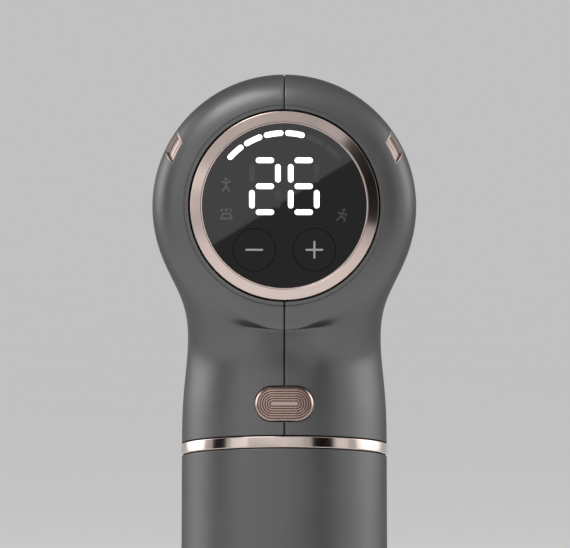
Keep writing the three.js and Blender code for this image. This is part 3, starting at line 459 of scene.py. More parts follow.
@dataclass(frozen=True)
class Finish:
    """A surface finish, with grain, tone and gloss that vary as on the real thing."""

    name: str
    color: tuple[float, float, float]
    roughness: float
    metallic: float = 0.0
    specular: float = 0.5
    edge: float = 1.0
    grain: float = 2600.0
    depth: float = 0.02
    tone: float = 0.08
    gloss_spread: float = 0.06
    patches: float = 60.0
    pattern: Pattern = Pattern.EVEN
    glow: float = 0.0

    def material(self) -> bpy.types.Material:
        """Builds the finish's material, once.

        Returns:
            The material.
        """
        full_name = f"{self.name}_finish"
        found = bpy.data.materials.get(full_name)
        if found:
            return found
        made = bpy.data.materials.new(full_name)
        made.use_nodes = True
        tree = made.node_tree
        shader = tree.nodes["Principled BSDF"]
        shader.inputs["Metallic"].default_value = self.metallic
        shader.inputs["Specular IOR Level"].default_value = self.specular
        shader.inputs["Specular Tint"].default_value = (self.edge, self.edge, self.edge, 1)
        shader.inputs["Emission Strength"].default_value = self.glow
        shader.inputs["Emission Color"].default_value = (1, 1, 1, 1)
        place = tree.nodes.new("ShaderNodeTexCoord").outputs["Object"]
        self._tones(tree, place, shader)
        self._gloss(tree, place, shader)
        self._grain(tree, place, shader)
        return made

    def _noise(self, tree: Tree, place: Socket, scale: float, detail: float = 2.0) -> Socket:
        """Adds a noise that runs as the finish's pattern does.

        Args:
            tree: The material's nodes.
            place: The coordinates that the noise reads.
            scale: How fine it is.
            detail: How many finer layers it has.

        Returns:
            The noise's value.
        """
        mapping = tree.nodes.new("ShaderNodeMapping")
        mapping.inputs["Scale"].default_value = self.pattern.value
        tree.links.new(place, mapping.inputs["Vector"])
        noise = tree.nodes.new("ShaderNodeTexNoise")
        noise.inputs["Scale"].default_value = scale
        noise.inputs["Detail"].default_value = detail
        tree.links.new(mapping.outputs["Vector"], noise.inputs["Vector"])
        return noise.outputs["Fac"]

    def _tones(self, tree: Tree, place: Socket, shader: Shader) -> None:
        """Varies the colour a little from patch to patch.

        Args:
            tree: The material's nodes.
            place: The coordinates that the patches read.
            shader: The node whose colour varies.
        """
        ramp = tree.nodes.new("ShaderNodeValToRGB")
        for stop, factor in zip(ramp.color_ramp.elements, (1 - self.tone, 1 + self.tone)):
            stop.color = (*[min(1.0, part * factor) for part in self.color], 1)
        tree.links.new(self._noise(tree, place, self.patches, detail=3.0), ramp.inputs["Fac"])
        tree.links.new(ramp.outputs["Color"], shader.inputs["Base Color"])

    def _gloss(self, tree: Tree, place: Socket, shader: Shader) -> None:
        """Varies the roughness a little from patch to patch.

        Args:
            tree: The material's nodes.
            place: The coordinates that the patches read.
            shader: The node whose roughness varies.
        """
        span = tree.nodes.new("ShaderNodeMapRange")
        span.inputs["To Min"].default_value = max(0.0, self.roughness - self.gloss_spread)
        span.inputs["To Max"].default_value = min(1.0, self.roughness + self.gloss_spread)
        tree.links.new(self._noise(tree, place, 2 * self.patches), span.inputs["Value"])
        tree.links.new(span.outputs["Result"], shader.inputs["Roughness"])

    def _grain(self, tree: Tree, place: Socket, shader: Shader) -> None:
        """Raises the fine grain of the surface.

        Args:
            tree: The material's nodes.
            place: The coordinates that the grain reads.
            shader: The node whose surface it raises.
        """
        bump = tree.nodes.new("ShaderNodeBump")
        bump.inputs["Strength"].default_value = 1.0
        bump.inputs["Distance"].default_value = self.depth * MILLIMETRE
        tree.links.new(self._noise(tree, place, self.grain), bump.inputs["Height"])
        tree.links.new(bump.outputs["Normal"], shader.inputs["Normal"])


# The finishes of the record's material slots, then those of forms that only the scene has
FINISHES = {finish.name: finish for finish in (
    Finish("body_grey", (0.17, 0.169, 0.169), 0.42, metallic=0.85, edge=0.3, grain=3600, depth=0.006),
    Finish("rose_plated", (0.76, 0.625, 0.57), 0.15, metallic=1, grain=900, depth=0.0006,
           gloss_spread=0.03),
    Finish("rose_metal", (0.68, 0.575, 0.53), 0.14, metallic=1, grain=900, depth=0.0003,
           gloss_spread=0.03),
    Finish("black_gloss", (0.003, 0.003, 0.0033), 0.012, specular=0.4, depth=0.0, gloss_spread=0.004),
    Finish("dark_plastic", (0.023, 0.024, 0.026), 0.5, depth=0.02),
    Finish("white_plastic", (0.7, 0.7, 0.69), 0.45, depth=0.01),
    Finish("black_rubber", (0.012, 0.012, 0.012), 0.8, specular=0.3, depth=0.04),
    Finish("steel", (0.33, 0.34, 0.36), 0.3, metallic=1, pattern=Pattern.ROUND, depth=0.006),
    Finish("copper_winding", (0.43, 0.15, 0.05), 0.35, metallic=0.9, pattern=Pattern.ROUND, depth=0.05),
    Finish("bare_aluminium", (0.56, 0.58, 0.6), 0.28, metallic=1, pattern=Pattern.ALONG, depth=0.005),
    Finish("circuit_board", (0.012, 0.07, 0.036), 0.45, grain=1800, depth=0.02),
    Finish("white_ceramic", (0.8, 0.79, 0.74), 0.5, depth=0.01),
    Finish("cell_wrap", (0.03, 0.16, 0.39), 0.3, depth=0.01),
)}
LIT = Finish("lit_segment", (0.9, 0.9, 0.9), 0.3, glow=1.4, depth=0.001)
ROSE_SATIN = Finish("rose_satin", (0.52, 0.41, 0.37), 0.28, metallic=1, grain=900, depth=0.0006)
# A darker copy of the rose plating: painted shade for the grilles sunk in their recesses
ROSE_PAINTED_SHADE = Finish("rose_painted_shade", (0.34, 0.27, 0.245), 0.3, metallic=1, grain=900, depth=0.0006)
SIGN = Finish("key_sign", (0.42, 0.41, 0.4), 0.35, depth=0.001)
FAINT = Finish("faint_print", (0.055, 0.055, 0.056), 0.04, depth=0.0001, gloss_spread=0.01)
UNLIT = Finish("unlit_segment", (0.012, 0.012, 0.013), 0.04, depth=0.0001, gloss_spread=0.01)


def hand_over(obj: Mesh, slot: str, nodes: Sequence[str] = (), body: str = "casing",
              finish: Finish | None = None) -> None:
    """Brings a finished piece into the row frame, dresses it and fixes it to its body.

    Args:
        obj: The piece, in millimetres in the row frame's axes.
        slot: The record's material slot.
        nodes: The nodes that it is shown in place of.
        body: The body it rides on.
        finish: Its finish, where that isn't the slot's own.
    """
    moved(obj, Matrix.Scale(MILLIMETRE, 4))
    activate(obj)
    bpy.ops.object.shade_smooth_by_angle(angle=SMOOTH_ANGLE)
    applied(obj, "WEIGHTED_NORMAL", weight=FLAT_WEIGHT, keep_sharp=True)
    obj.data.materials.clear()
    obj.data.materials.append((finish or FINISHES[slot]).material())
    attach(obj, body)
    if nodes:
        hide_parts(*nodes)
    LOG.info("%s rides on %s", obj.name, body)


# The casing


class Side(Enum):
    """A side of the casing, as its sign along x."""

    LEFT = -1
    RIGHT = 1

    @property
    def word(self) -> str:
        """The side's name in the names of pieces and nodes."""
        return self.name.lower()


@dataclass
class Window:
    """A vent window through the side of the barrel, with its grille."""

    width: float = 5.8
    length: float = 5.3
    start: float = 1.6
    lean: float = math.radians(26.4)
    skew: float = math.radians(-21)
    fins: int = 4
    slot: float = 0.3
    gap: float = 0.05
    rim: float = 0.27
    depth: float = 5.0
    sunk: float = 0.75
    plate: float = 0.9

    def place(self, side: Side) -> Matrix:
        """Gives the frame of one side's window, whose z points out of the barrel.

        Args:
            side: The side of the casing.

        Returns:
            The frame.
        """
        turn = Matrix.Rotation(QUARTER - self.lean, 4, "Y")
        mirror = Matrix.Scale(side.value, 4, (1, 0, 0))
        return mirror @ Matrix.Translation((0, 0, BARREL.axis)) @ turn

    def tool(self, side: Side, shrink: float) -> Mesh:
        """Makes the window's solid.

        Args:
            side: The side of the casing.
            shrink: How much smaller it is all round.

        Returns:
            The closed solid.
        """
        half, long = self.width / 2 - shrink, self.length - 2 * shrink
        lean = math.tan(self.skew) * long
        low = BARREL.rear + self.start + shrink
        corners = [(-half, low), (half, low), (half + lean, low + long), (lean - half, low + long)]
        made = slab("window", corners, BARREL.radius - self.depth, BARREL.radius + OVERRUN)
        return tidy_faces(moved(made, self.place(side)))

    def grille(self, skin: Mesh, side: Side) -> Mesh:
        """Makes one side's grille out of the barrel's own skin.

        Args:
            skin: The casing's closed outer form.
            side: The side of the casing.

        Returns:
            The grille.
        """
        blank = copied(skin, f"{side.word}_grille_plate")
        fins, back = sunk(skin, "fins_face", self.sunk), sunk(skin, "fins_back", self.sunk + self.plate)
        recess = worked(self.tool(side, self.gap + self.rim), [fins])
        worked(worked(blank, [self.tool(side, self.gap)], Operation.KEEP), [recess, back])
        inset = self.gap + 2 * self.rim
        pitch = (self.length - 2 * inset) / self.fins
        across = self.width / 2 - inset
        for i in range(self.fins):
            low = inset + i * pitch + (pitch - self.slot) / 2
            shift = math.tan(self.skew) * low
            low += BARREL.rear + self.start
            corners = [(x + shift, y + low) for x, y in
                       ((-across, 0), (across, 0), (across, self.slot), (-across, self.slot))]
            tool = slab("slot", corners, BARREL.radius / 2, BARREL.radius + OVERRUN)
            worked(blank, [tidy_faces(moved(tool, self.place(side)))])
        return blank


@dataclass
class Pill:
    """The ridged power button, on the raked neck."""

    width: float = 13.4
    height: float = 7.93
    middle: float = 99.2
    proud: float = 0.35
    inset: float = 5.0
    flange: float = 0.8
    flange_height: float = 1.1
    stem: float = 1.5
    stem_length: float = 0.7
    ridges: int = 6
    pitch: float = 0.56
    ridge: float = 0.3
    ridge_share: float = 0.3
    edge: float = 0.4

    @property
    def place(self) -> Matrix:
        """The button's frame, whose z points out of the neck."""
        return GRIP_FRAME @ Matrix.Translation((0, 0, self.middle)) @ Matrix.Rotation(QUARTER, 4, "X")

    def tool(self, grow: float) -> Mesh:
        """Makes the button's opening through the shells.

        Args:
            grow: How much larger than the button it is all round.

        Returns:
            The closed solid.
        """
        points = stadium(self.width + 2 * grow, self.height + 2 * grow)
        return slab("pill_tool", points, GRIP.radius - self.inset - OVERRUN, GRIP.radius + 2 * OVERRUN,
                    self.place)

    def build(self) -> None:
        """Models the button as nested ridges that follow the neck's curve."""
        reach = GRIP.radius + self.proud
        back = GRIP.radius - self.inset
        points = stadium(self.width, self.height, 2 * SMALL_STEPS)
        face = outline("power_button_cap", [(x, y, back) for x, y in points], True)
        with editing(face, "FACE"):
            lift = reach - self.edge - back
            bpy.ops.mesh.extrude_region_move(TRANSFORM_OT_translate={"value": (0, 0, lift)})
            bpy.ops.mesh.inset(thickness=self.edge, depth=self.edge)
            for _ in range(self.ridges):
                bpy.ops.mesh.inset(thickness=self.pitch * self.ridge_share, depth=-self.ridge)
                bpy.ops.mesh.inset(thickness=self.pitch * self.ridge_share, depth=self.ridge)
                bpy.ops.mesh.inset(thickness=self.pitch * (1 - 2 * self.ridge_share), depth=0)
        for vertex in face.data.vertices:
            if vertex.co.z > back + OVERRUN:
                vertex.co.z -= reach - math.sqrt(reach * reach - vertex.co.x ** 2)
        tidy_faces(face)
        flange = slab("flange", stadium(self.width + 2 * self.flange, self.height + 2 * self.flange),
                      back - self.flange_height, back)
        tail = disc("tail", self.stem, back - self.flange_height - self.stem_length, back,
                    steps=SMALL_STEPS)
        moved(joined([face, worked(flange, [tail], Operation.JOIN)], "power_button_cap"), self.place)
        hand_over(face, "rose_plated", ["power_button"], "power_key", ROSE_SATIN)


@dataclass
class ShellScrew:
    """A screw that draws the half shells together, and its recess in the left one."""

    shank: float = 1.2
    head: float = 2.6
    head_height: float = 1.8
    length: float = 22.0
    seat: float = 5.0
    socket: float = 1.3
    socket_depth: float = 1.0
    socket_sides: int = 6
    edge: float = 0.2
    high: float = BARREL.axis + BARREL.radius * 0.72
    low: float = BARREL.axis - BARREL.radius * 0.69
    places: Sequence[Point] = ((8.0, high), (40.0, high), (46.0, low), (29.0, 101.8))

    def depth(self, place: Point) -> float:
        """Gives how far out a screw's seat lies, along -x.

        Args:
            place: Where the screw stands, along y and z.

        Returns:
            The seat's x.
        """
        y, z = place
        rise = z - BARREL.axis
        on_barrel = abs(rise) < BARREL.radius
        radius = BARREL.radius if on_barrel else GRIP.radius
        offset = rise if on_barrel else y - z * math.tan(GRIP.rake)
        return -(math.sqrt(radius * radius - offset * offset) - self.seat)

    def along(self, place: Point) -> Matrix:
        """Gives the frame of one screw, whose z points to the right."""
        return Matrix.Translation((0, *place)) @ Matrix.Rotation(QUARTER, 4, "Y")

    def tools(self) -> list[Mesh]:
        """Makes each screw's recess."""
        return [disc("recess", self.head + CLEARANCE, -FAR, self.depth(place), self.along(place),
                     SMALL_STEPS) for place in self.places]

    def build(self) -> None:
        """Models the screws, each with a hexagon socket in its head."""
        for i, place in enumerate(self.places, 1):
            head = self.depth(place) - CLEARANCE
            top = head - self.head_height
            blank = turned(f"shell_screw_{i}_bolt", [
                (0, top), (self.head, top), (self.head, head), (self.shank, head),
                (self.shank, head + self.length), (0, head + self.length),
            ], steps=SMALL_STEPS)
            socket = disc("socket", self.socket, top - OVERRUN, top + self.socket_depth,
                          steps=self.socket_sides)
            softened(worked(blank, [socket]), self.edge)
            hand_over(moved(blank, self.along(place)), "steel", [f"shell_screw_{i}"])


@dataclass
class Casing:
    """The half shells, grown from one cage of quads that is refined into a smooth skin."""

    # The cage round the barrel and the neck's opening in it, counted in spokes and rows
    spokes: int = 16
    mouth: int = 2
    neck_rows: int = 4
    neck_rear: float = -9.8
    neck_front: float = 36.8
    neck_half: float = 22.35
    flank_share: float = 1.025
    levels: int = 3
    fit: float = 0.01
    # The creases and the dent under the display, at the middle spoke and at the next one
    creases: Sequence[float] = (0.7, 0.75)
    chin_spokes: int = 2
    chin: Sequence[Sequence[float]] = ((1.1, 1.035), (0.92, 0.94))
    dents: Sequence[Sequence[float]] = ((3.6, -2.6), (1.3, -2.4))
    # The seam between the halves, and the dark strip in it, painted shade for the gap
    seam: float = 0.2
    seam_round: float = 0.12
    seam_sink: float = 0.04
    strip_depth: float = 0.3
    strip_play: float = 0.02
    # The rings' places and radii, and how far the neck's loops are down, tilted and widened, as shares
    shoulder_shares: Sequence[Point] = ((-0.18, 0.35), (-0.17, 0.66), (0.04, 0.865))
    nose_shares: Sequence[Point] = ((0.43, 1), (0.8, 1), (0.975, 0.89), (1.01, 0.64), (1.02, 0.35))
    loop_shares: Sequence[Place] = (
        (0.1, 0, 0.18), (0.4, 0.5, 0.66), (0.72, 1, 1), (1.15, 1, 1), (1.5, 1, 1),
    )
    # The openings
    rim: float = 0.4
    bezel_pocket: float = 22.1
    bezel_depth: float = 3.4
    housing_pocket: float = 21.3
    housing_depth: float = 9.8
    lip: float = 0.75
    groove: float = 0.32
    collar_pocket: float = 22.3
    collar_flange: float = 24.3
    flange_depth: float = 3.0
    collar_depth: float = 6.0
    window: Window = field(default_factory=Window)
    pill: Pill = field(default_factory=Pill)
    screws: ShellScrew = field(default_factory=ShellScrew)

    @property
    def turn(self) -> float:
        """The angle between two spokes."""
        return 2 * math.pi / self.spokes

    @property
    def settle(self) -> float:
        """How far inside its cage a refined round settles, as a share."""
        return (2 + math.cos(self.turn)) / 3

    def barrel_rings(self) -> list[list[Place]]:
        """Gives the cage's rings along the barrel.

        Returns:
            Each ring's points, from rear to nose.
        """
        step = (self.neck_front - self.neck_rear) / self.neck_rows
        rows = [(BARREL.rear + y * BARREL.shoulder, r) for y, r in self.shoulder_shares]
        rows += [(self.neck_rear + j * step, 1) for j in range(self.neck_rows + 1)]
        rows += [(self.neck_front + y * BARREL.nose, r) for y, r in self.nose_shares]
        first = len(self.shoulder_shares)
        rings = []
        for j, (y, share) in enumerate(rows):
            points = []
            for i in range(self.spokes):
                angle = i * self.turn - QUARTER
                beside = min(i, self.spokes - i)
                flank = beside == self.mouth and first < j < first + self.neck_rows
                r = (BARREL.radius - self.fit) / self.settle * share * (self.flank_share if flank else 1)
                if j in (first - 1, first) and beside < self.chin_spokes:
                    r *= self.chin[j - first + 1][beside]
                deep = self.dents[0][beside] if j == first and beside < self.chin_spokes else 0
                points.append((r * math.cos(angle), y + deep, BARREL.axis + r * math.sin(angle)))
            rings.append(points)
        return rings

    def neck_loops(self) -> list[list[Place]]:
        """Gives the cage's loops down the neck.

        Returns:
            Each loop's points, from the barrel down.
        """
        top = BARREL.axis - BARREL.radius
        bottom = GRIP.shell_bottom * math.cos(GRIP.rake)
        loops = []
        for row, (down, tilt, widen) in enumerate(self.loop_shares):
            height = top + down * (bottom - top)
            wide = (self.neck_half + widen * (GRIP.radius - self.neck_half)) / self.settle
            loop = []
            for k in range(self.spokes):
                angle = k * self.turn - QUARTER
                deep = wide * math.sin(angle)
                beside = min(k, self.spokes - k)
                dent = self.dents[1][beside] if row == 0 and beside < self.chin_spokes else 0
                loop.append((wide * math.cos(angle),
                             height * math.tan(GRIP.rake) + deep * math.cos(tilt * GRIP.rake) + dent,
                             height - deep * math.sin(tilt * GRIP.rake)))
            loops.append(loop)
        return loops

    def mouth_loop(self, rings: list[list[Place]]) -> list[Place]:
        """Gives the edge of the opening in the barrel's underside.

        Args:
            rings: The barrel's rings.

        Returns:
            The edge's points, in the neck loops' order.
        """
        first, m, n = len(self.shoulder_shares), self.mouth, self.neck_rows

        def at(j: int, i: int) -> Place:
            """Gives one point of the opening's edge."""
            return rings[first + j][i % self.spokes]

        return ([at(0, i) for i in range(0, m + 1)] + [at(j, m) for j in range(1, n)]
                + [at(n, i) for i in range(m, -m - 1, -1)] + [at(j, -m) for j in range(n - 1, 0, -1)]
                + [at(0, i) for i in range(-m, 0)])

    def skin(self) -> Mesh:
        """Models the casing's closed, smooth outer form.

        Returns:
            The skin.
        """
        rings = self.barrel_rings()
        obj = outline("casing_skin", rings[0], True)
        with editing(obj, "FACE"):
            for ring_points, last in zip(rings[1:], rings):
                extruded(obj, last, ring_points)
        edge = self.mouth_loop(rings)
        self._open_mouth(obj, rings)
        with editing(obj, "EDGE"):
            select_where(obj, lambda border: border.is_boundary)
            for loop in self.neck_loops():
                extruded(obj, edge, loop)
                edge = loop
            bpy.ops.mesh.edge_face_add()
        tidy_faces(obj)
        self._crease(obj, rings)
        return applied(obj, "SUBSURF", levels=self.levels, render_levels=self.levels)

    def _open_mouth(self, obj: Mesh, rings: list[list[Place]]) -> None:
        """Takes away the barrel's faces over the neck.

        Args:
            obj: The cage.
            rings: The barrel's rings.
        """
        first = len(self.shoulder_shares)
        rows = [rings[first + j][i % self.spokes] for j in range(self.neck_rows + 1)
                for i in range(-self.mouth, self.mouth + 1)]
        corners = [Vector(point) for point in rows]
        with editing(obj, "FACE"):
            mesh = bmesh.from_edit_mesh(obj.data)
            for face in mesh.faces:
                quad = len(face.verts) == 4
                face.select_set(quad and all(stands_at(vertex, corners) for vertex in face.verts))
            mesh.select_flush_mode()
            bmesh.update_edit_mesh(obj.data)
            bpy.ops.mesh.delete(type="FACE")

    def _crease(self, obj: Mesh, rings: list[list[Place]]) -> None:
        """Makes the lip under the display, and the neck's root behind it, soft creases.

        Args:
            obj: The cage.
            rings: The barrel's rings.
        """
        first = len(self.shoulder_shares)
        for row, value in zip(rings[first - 1:first + 1], self.creases):
            ends = [Vector(row[i % self.spokes]) for i in (-1, 0, 1)]
            with editing(obj, "EDGE"):
                select_where(obj, lambda edge: all(stands_at(vertex, ends) for vertex in edge.verts))
                bpy.ops.transform.edge_crease(value=value)

    def half(self, skin: Mesh, side: Side) -> Mesh:
        """Makes one half shell: half the skin, its seam rounded in, with the wall's thickness.

        Args:
            skin: The closed outer form.
            side: The side of the casing.

        Returns:
            The closed shell.
        """
        shell = copied(skin, f"{side.word}_casing_half")
        seam, inner = side.value * self.seam, side.value * (self.seam + self.seam_round)
        with editing(shell):
            bpy.ops.mesh.bisect(plane_co=(seam, 0, 0), plane_no=(side.value, 0, 0), clear_inner=True)
            bpy.ops.mesh.select_all(action="SELECT")
            bpy.ops.mesh.bisect(plane_co=(inner, 0, 0), plane_no=(1, 0, 0))
            bpy.ops.mesh.select_all(action="DESELECT")
            bpy.ops.mesh.select_mode(type="EDGE")
            select_where(shell, lambda edge: edge.is_boundary)
            bpy.ops.transform.shrink_fatten(value=-self.seam_sink)
        return tidy_faces(applied(shell, "SOLIDIFY", thickness=BARREL.wall, offset=-1))

    def strip(self, skin: Mesh) -> Mesh:
        """Makes the thin dark strip in the seam between the half shells, painted shade that keeps the
        gap dark.

        Args:
            skin: The closed outer form.

        Returns:
            The strip.
        """
        layer, core = sunk(skin, "seam_shade_strip", self.strip_depth), sunk(skin, "core", BARREL.wall)
        band = slab("band", box_corners(self.seam - self.strip_play, FAR), -FAR, FAR)
        return worked(worked(layer, [core]), [band], Operation.KEEP)

    def openings(self, side: Side) -> list[Mesh]:
        """Makes the tools for all the openings of one half shell.

        Args:
            side: The side of the casing.

        Returns:
            The tools.
        """
        nose = self.neck_front + BARREL.nose
        back = nose - self.collar_depth
        lip = self.bezel_pocket + self.lip
        tools = [
            disc("bezel_tool", self.bezel_pocket, -self.bezel_depth - OVERRUN, FAR / 2, DISPLAY_FRAME),
            disc("housing_tool", self.housing_pocket, -self.housing_depth, FAR / 2, DISPLAY_FRAME),
            ring("lip_tool", lip, lip + self.groove, self.rim - self.groove, FAR / 2, DISPLAY_FRAME),
            disc("collar_tool", self.collar_pocket, back, nose + FAR / 2, NOSE_FRAME),
            disc("flange_tool", self.collar_flange, back - CLEARANCE, back + self.flange_depth,
                 NOSE_FRAME),
            disc("bottom_tool", 2 * GRIP.radius, -FAR, GRIP.shell_bottom, GRIP_FRAME),
            self.pill.tool(CLEARANCE),
            self.window.tool(side, 0),
        ]
        return tools + (self.screws.tools() if side is Side.LEFT else [])

    def build(self) -> None:
        """Models both half shells, the grilles, the power button and the screws."""
        skin = self.skin()
        for side in Side:
            shell = worked(self.half(skin, side), self.openings(side))
            hand_over(shell, "body_grey", [f"{side.word}_shell"])
            grille = self.window.grille(skin, side)
            # The grilles wear a darker copy of the rose plating, painted shade for their recesses
            hand_over(grille, "rose_plated", [f"{side.word}_vent_grille"], finish=ROSE_PAINTED_SHADE)
        # The dark strip in the seam is painted shade, dressed in the black rubber finish
        hand_over(worked(self.strip(skin), self.openings(Side.RIGHT)), "black_rubber")
        bpy.data.objects.remove(skin)
        self.pill.build()
        self.screws.build()


# The display


@dataclass
class Display:
    """The bezel ring, the lens with its lit signs, and the two keys."""

    # The lens and the ring round it
    radius: float = 18.95
    thickness: float = 1.6
    proud: float = 0.2
    bezel: float = 21.8
    bezel_height: float = 4.6
    crown: float = 1.2
    bezel_slope: float = math.radians(20)
    rim_round: float = 0.45
    edge: float = 0.08
    lip: float = 1.2
    # The keys
    key: float = 4.9
    key_gap: float = 0.08
    key_edge: float = 0.14
    spread: float = 6.9
    drop: float = 10.15
    flange: float = 0.85
    flange_height: float = 0.55
    stem: float = 1.6
    stem_length: float = 0.7
    guide: float = 17.3
    # The figures, bars and signs on the lens
    print_height: float = 0.03
    segment: Point = (4.2, 1.28)
    digit_spread: float = 4.45
    digit_reach: float = 2.98
    digit_step: float = 5.95
    digit_lift: float = 4.43
    arc_radius: float = 16.65
    arc_length: float = math.radians(15.6)
    arc_pitch: float = math.radians(17)
    arc_count: int = 6
    arc_lit: int = 4
    sign: Point = (4.1, 0.44)
    icon_stroke: float = 0.42
    icon_head: Point = (1.7, 1.6)

    @property
    def back(self) -> float:
        """The lens's inner face."""
        return self.proud - self.thickness

    def build(self) -> None:
        """Models the display's pieces."""
        self._bezel()
        self._lens()
        self._keys()
        self._digits()
        self._arc()
        self._icons()

    def _bezel(self) -> None:
        """Models the polished ring round the lens."""
        inner, outer = self.radius + CLEARANCE, self.bezel - self.rim_round
        back, seat = self.crown - self.bezel_height, self.back - CLEARANCE
        lip = inner - self.lip - CLEARANCE
        low = self.crown - (outer - inner) * math.tan(self.bezel_slope)
        rim = [(outer + self.rim_round * up, low - self.rim_round * (1 - along))
               for along, up in QUARTER_ARC[1:]]
        made = turned("bezel_trim", [
            (lip, back), (self.bezel, back), *reversed(rim), (inner, self.crown), (inner, seat),
            (lip, seat),
        ])
        softened(made, self.edge)
        hand_over(moved(made, DISPLAY_FRAME), "rose_plated", ["bezel_ring"])

    def _lens(self) -> None:
        """Models the black lens with a hole for each key."""
        made = disc("display_glass", self.radius, self.back, self.proud)
        holes = [disc("hole", self.key + self.key_gap, self.back - OVERRUN, self.proud + OVERRUN,
                      self._at_key(side), KEY_STEPS) for side in (-1, 1)]
        softened(worked(made, holes), self.key_edge, segments=1)
        hand_over(moved(made, DISPLAY_FRAME), "black_gloss", ["display_lens"])

    def _at_key(self, side: int) -> Matrix:
        """Gives the centre of a key, in the display's frame."""
        return Matrix.Translation((side * self.spread, -self.drop, 0))

    def _keys(self) -> None:
        """Models both keys, flush with the lens, each with its sign."""
        back, top = self.back - CLEARANCE, self.proud
        low = back - self.flange_height
        for side, name in ((-1, "minus"), (1, "plus")):
            key = turned(f"{name}_key_cap", [
                (0, low - self.stem_length), (self.stem, low - self.stem_length), (self.stem, low),
                (self.key + self.flange, low), (self.key + self.flange, back), (self.key, back),
                (self.key, top), (0, top),
            ], self._at_key(side), KEY_STEPS)
            # The round guide trims the key's flange, and nothing above or below it
            keep = disc("keep", self.guide, low - OVERRUN, back + OVERRUN / 4)
            above = disc("above", FAR, back, FAR, steps=SMALL_STEPS)
            stem = disc("stem", self.key, low - FAR, back + OVERRUN, self._at_key(side), KEY_STEPS)
            worked(keep, [above, stem], Operation.JOIN)
            softened(worked(key, [keep], Operation.KEEP), self.key_edge, segments=1)
            hand_over(moved(key, DISPLAY_FRAME), "black_gloss", [f"{name}_button"], f"{name}_key")
            bars = [self._bar(self.sign, (0, 0), 0, top)]
            if name == "plus":
                bars.append(self._bar(self.sign, (0, 0), QUARTER, top))
                bars = [worked(bars[0], bars[1:], Operation.JOIN)]
            sign = moved(bars[0], DISPLAY_FRAME @ self._at_key(side))
            sign.name = f"{name}_sign"
            hand_over(sign, "black_gloss", body=f"{name}_key", finish=SIGN)

    def _bar(self, size: Point, middle: Point, angle: float, low: float) -> Mesh:
        """Makes one round-ended bar that stands a little proud."""
        place = Matrix.Translation((*middle, 0)) @ Matrix.Rotation(angle, 4, "Z")
        return slab("bar", stadium(*size, SMALL_STEPS // 2), low, low + self.print_height, place)

    def _print(self, name: str, bars: Sequence[Mesh], finish: Finish) -> None:
        """Joins bars on the lens into one piece and hands it over."""
        hand_over(moved(joined(bars, name), DISPLAY_FRAME), "black_gloss", finish=finish)

    def _digits(self) -> None:
        """Models the figures on the display, with their unlit bars."""
        bars = {
            "top": (0, 1, 0), "middle": (0, 0, 0), "bottom": (0, -1, 0),
            "upper_left": (-1, 0.5, QUARTER), "upper_right": (1, 0.5, QUARTER),
            "lower_left": (-1, -0.5, QUARTER), "lower_right": (1, -0.5, QUARTER),
        }
        unlit = {-1: {"upper_left", "lower_right"}, 1: {"upper_right"}}
        lit_bars, faint_bars = [], []
        for side, off in unlit.items():
            for name, (x, y, angle) in bars.items():
                middle = (side * self.digit_spread + x * self.digit_reach,
                          self.digit_lift + y * self.digit_step)
                bar = self._bar(self.segment, middle, angle, self.proud)
                (faint_bars if name in off else lit_bars).append(bar)
        self._print("display_figures", lit_bars, LIT)
        self._print("display_figures_unlit", faint_bars, UNLIT)

    def _arc(self) -> None:
        """Models the level bar along the lens's upper edge."""
        lit_bars, faint_bars = [], []
        size = (self.arc_radius * self.arc_length, self.segment[1])
        for i in range(self.arc_count):
            middle = (i - (self.arc_count - 1) / 2) * self.arc_pitch
            blank = self._bar(size, (0, 0), 0, self.proud)
            with editing(blank):
                bpy.ops.mesh.subdivide(number_cuts=2)
            for vertex in blank.data.vertices:
                angle = middle + vertex.co.x / self.arc_radius
                radius = self.arc_radius + vertex.co.y
                vertex.co.x, vertex.co.y = radius * math.sin(angle), radius * math.cos(angle)
            (lit_bars if i < self.arc_lit else faint_bars).append(blank)
        self._print("level_bar", lit_bars, LIT)
        self._print("level_bar_unlit", faint_bars, UNLIT)

    def _icons(self) -> None:
        """Models three faint signs: a standing figure, a warm pad and a moving figure."""
        width = self.icon_stroke
        figures = {
            "stance_icon": ((-13.4, 4.9), [
                ((0, 0.35), (0, -0.35)), ((0, 0.3), (-1, 0.65)), ((0, 0.3), (1, 0.65)),
                ((0, -0.4), (-0.75, -1.5)), ((0, -0.4), (0.75, -1.5)),
            ], (0, 1.15)),
            "warmth_icon": ((-13.3, -2.0), [
                ((-1.4, -1), (1.4, -1)), ((-1.05, -0.6), (-0.75, 0.15)), ((-0.75, 0.15), (0.75, 0.15)),
                ((0.75, 0.15), (1.05, -0.6)), ((-1.2, 0.75), (-0.95, 1.1)), ((1.2, 0.75), (0.95, 1.1)),
            ], (0, 1.0)),
            "motion_icon": ((13.2, -2.2), [
                ((0.15, 0.5), (-0.25, -0.3)), ((0.1, 0.35), (1.05, 0.1)), ((0.1, 0.35), (-0.8, 0.55)),
                ((-0.25, -0.3), (0.7, -0.75)), ((0.7, -0.75), (0.5, -1.4)),
                ((-0.25, -0.3), (-1.1, -1.1)),
            ], (0.45, 1.15)),
        }
        for name, ((x, y), strokes, head) in figures.items():
            round_head = (width * self.icon_head[0], width * self.icon_head[1])
            parts = [self._bar(round_head, (x + head[0], y + head[1]), 0, self.proud)]
            for (x0, y0), (x1, y1) in strokes:
                run = Vector((x1 - x0, y1 - y0))
                middle = (x + (x0 + x1) / 2, y + (y0 + y1) / 2)
                stroke = (run.length + width, width)
                parts.append(self._bar(stroke, middle, math.atan2(run.y, run.x), self.proud))
            self._print(name, [worked(parts[0], parts[1:], Operation.JOIN)], FAINT)


# The handle


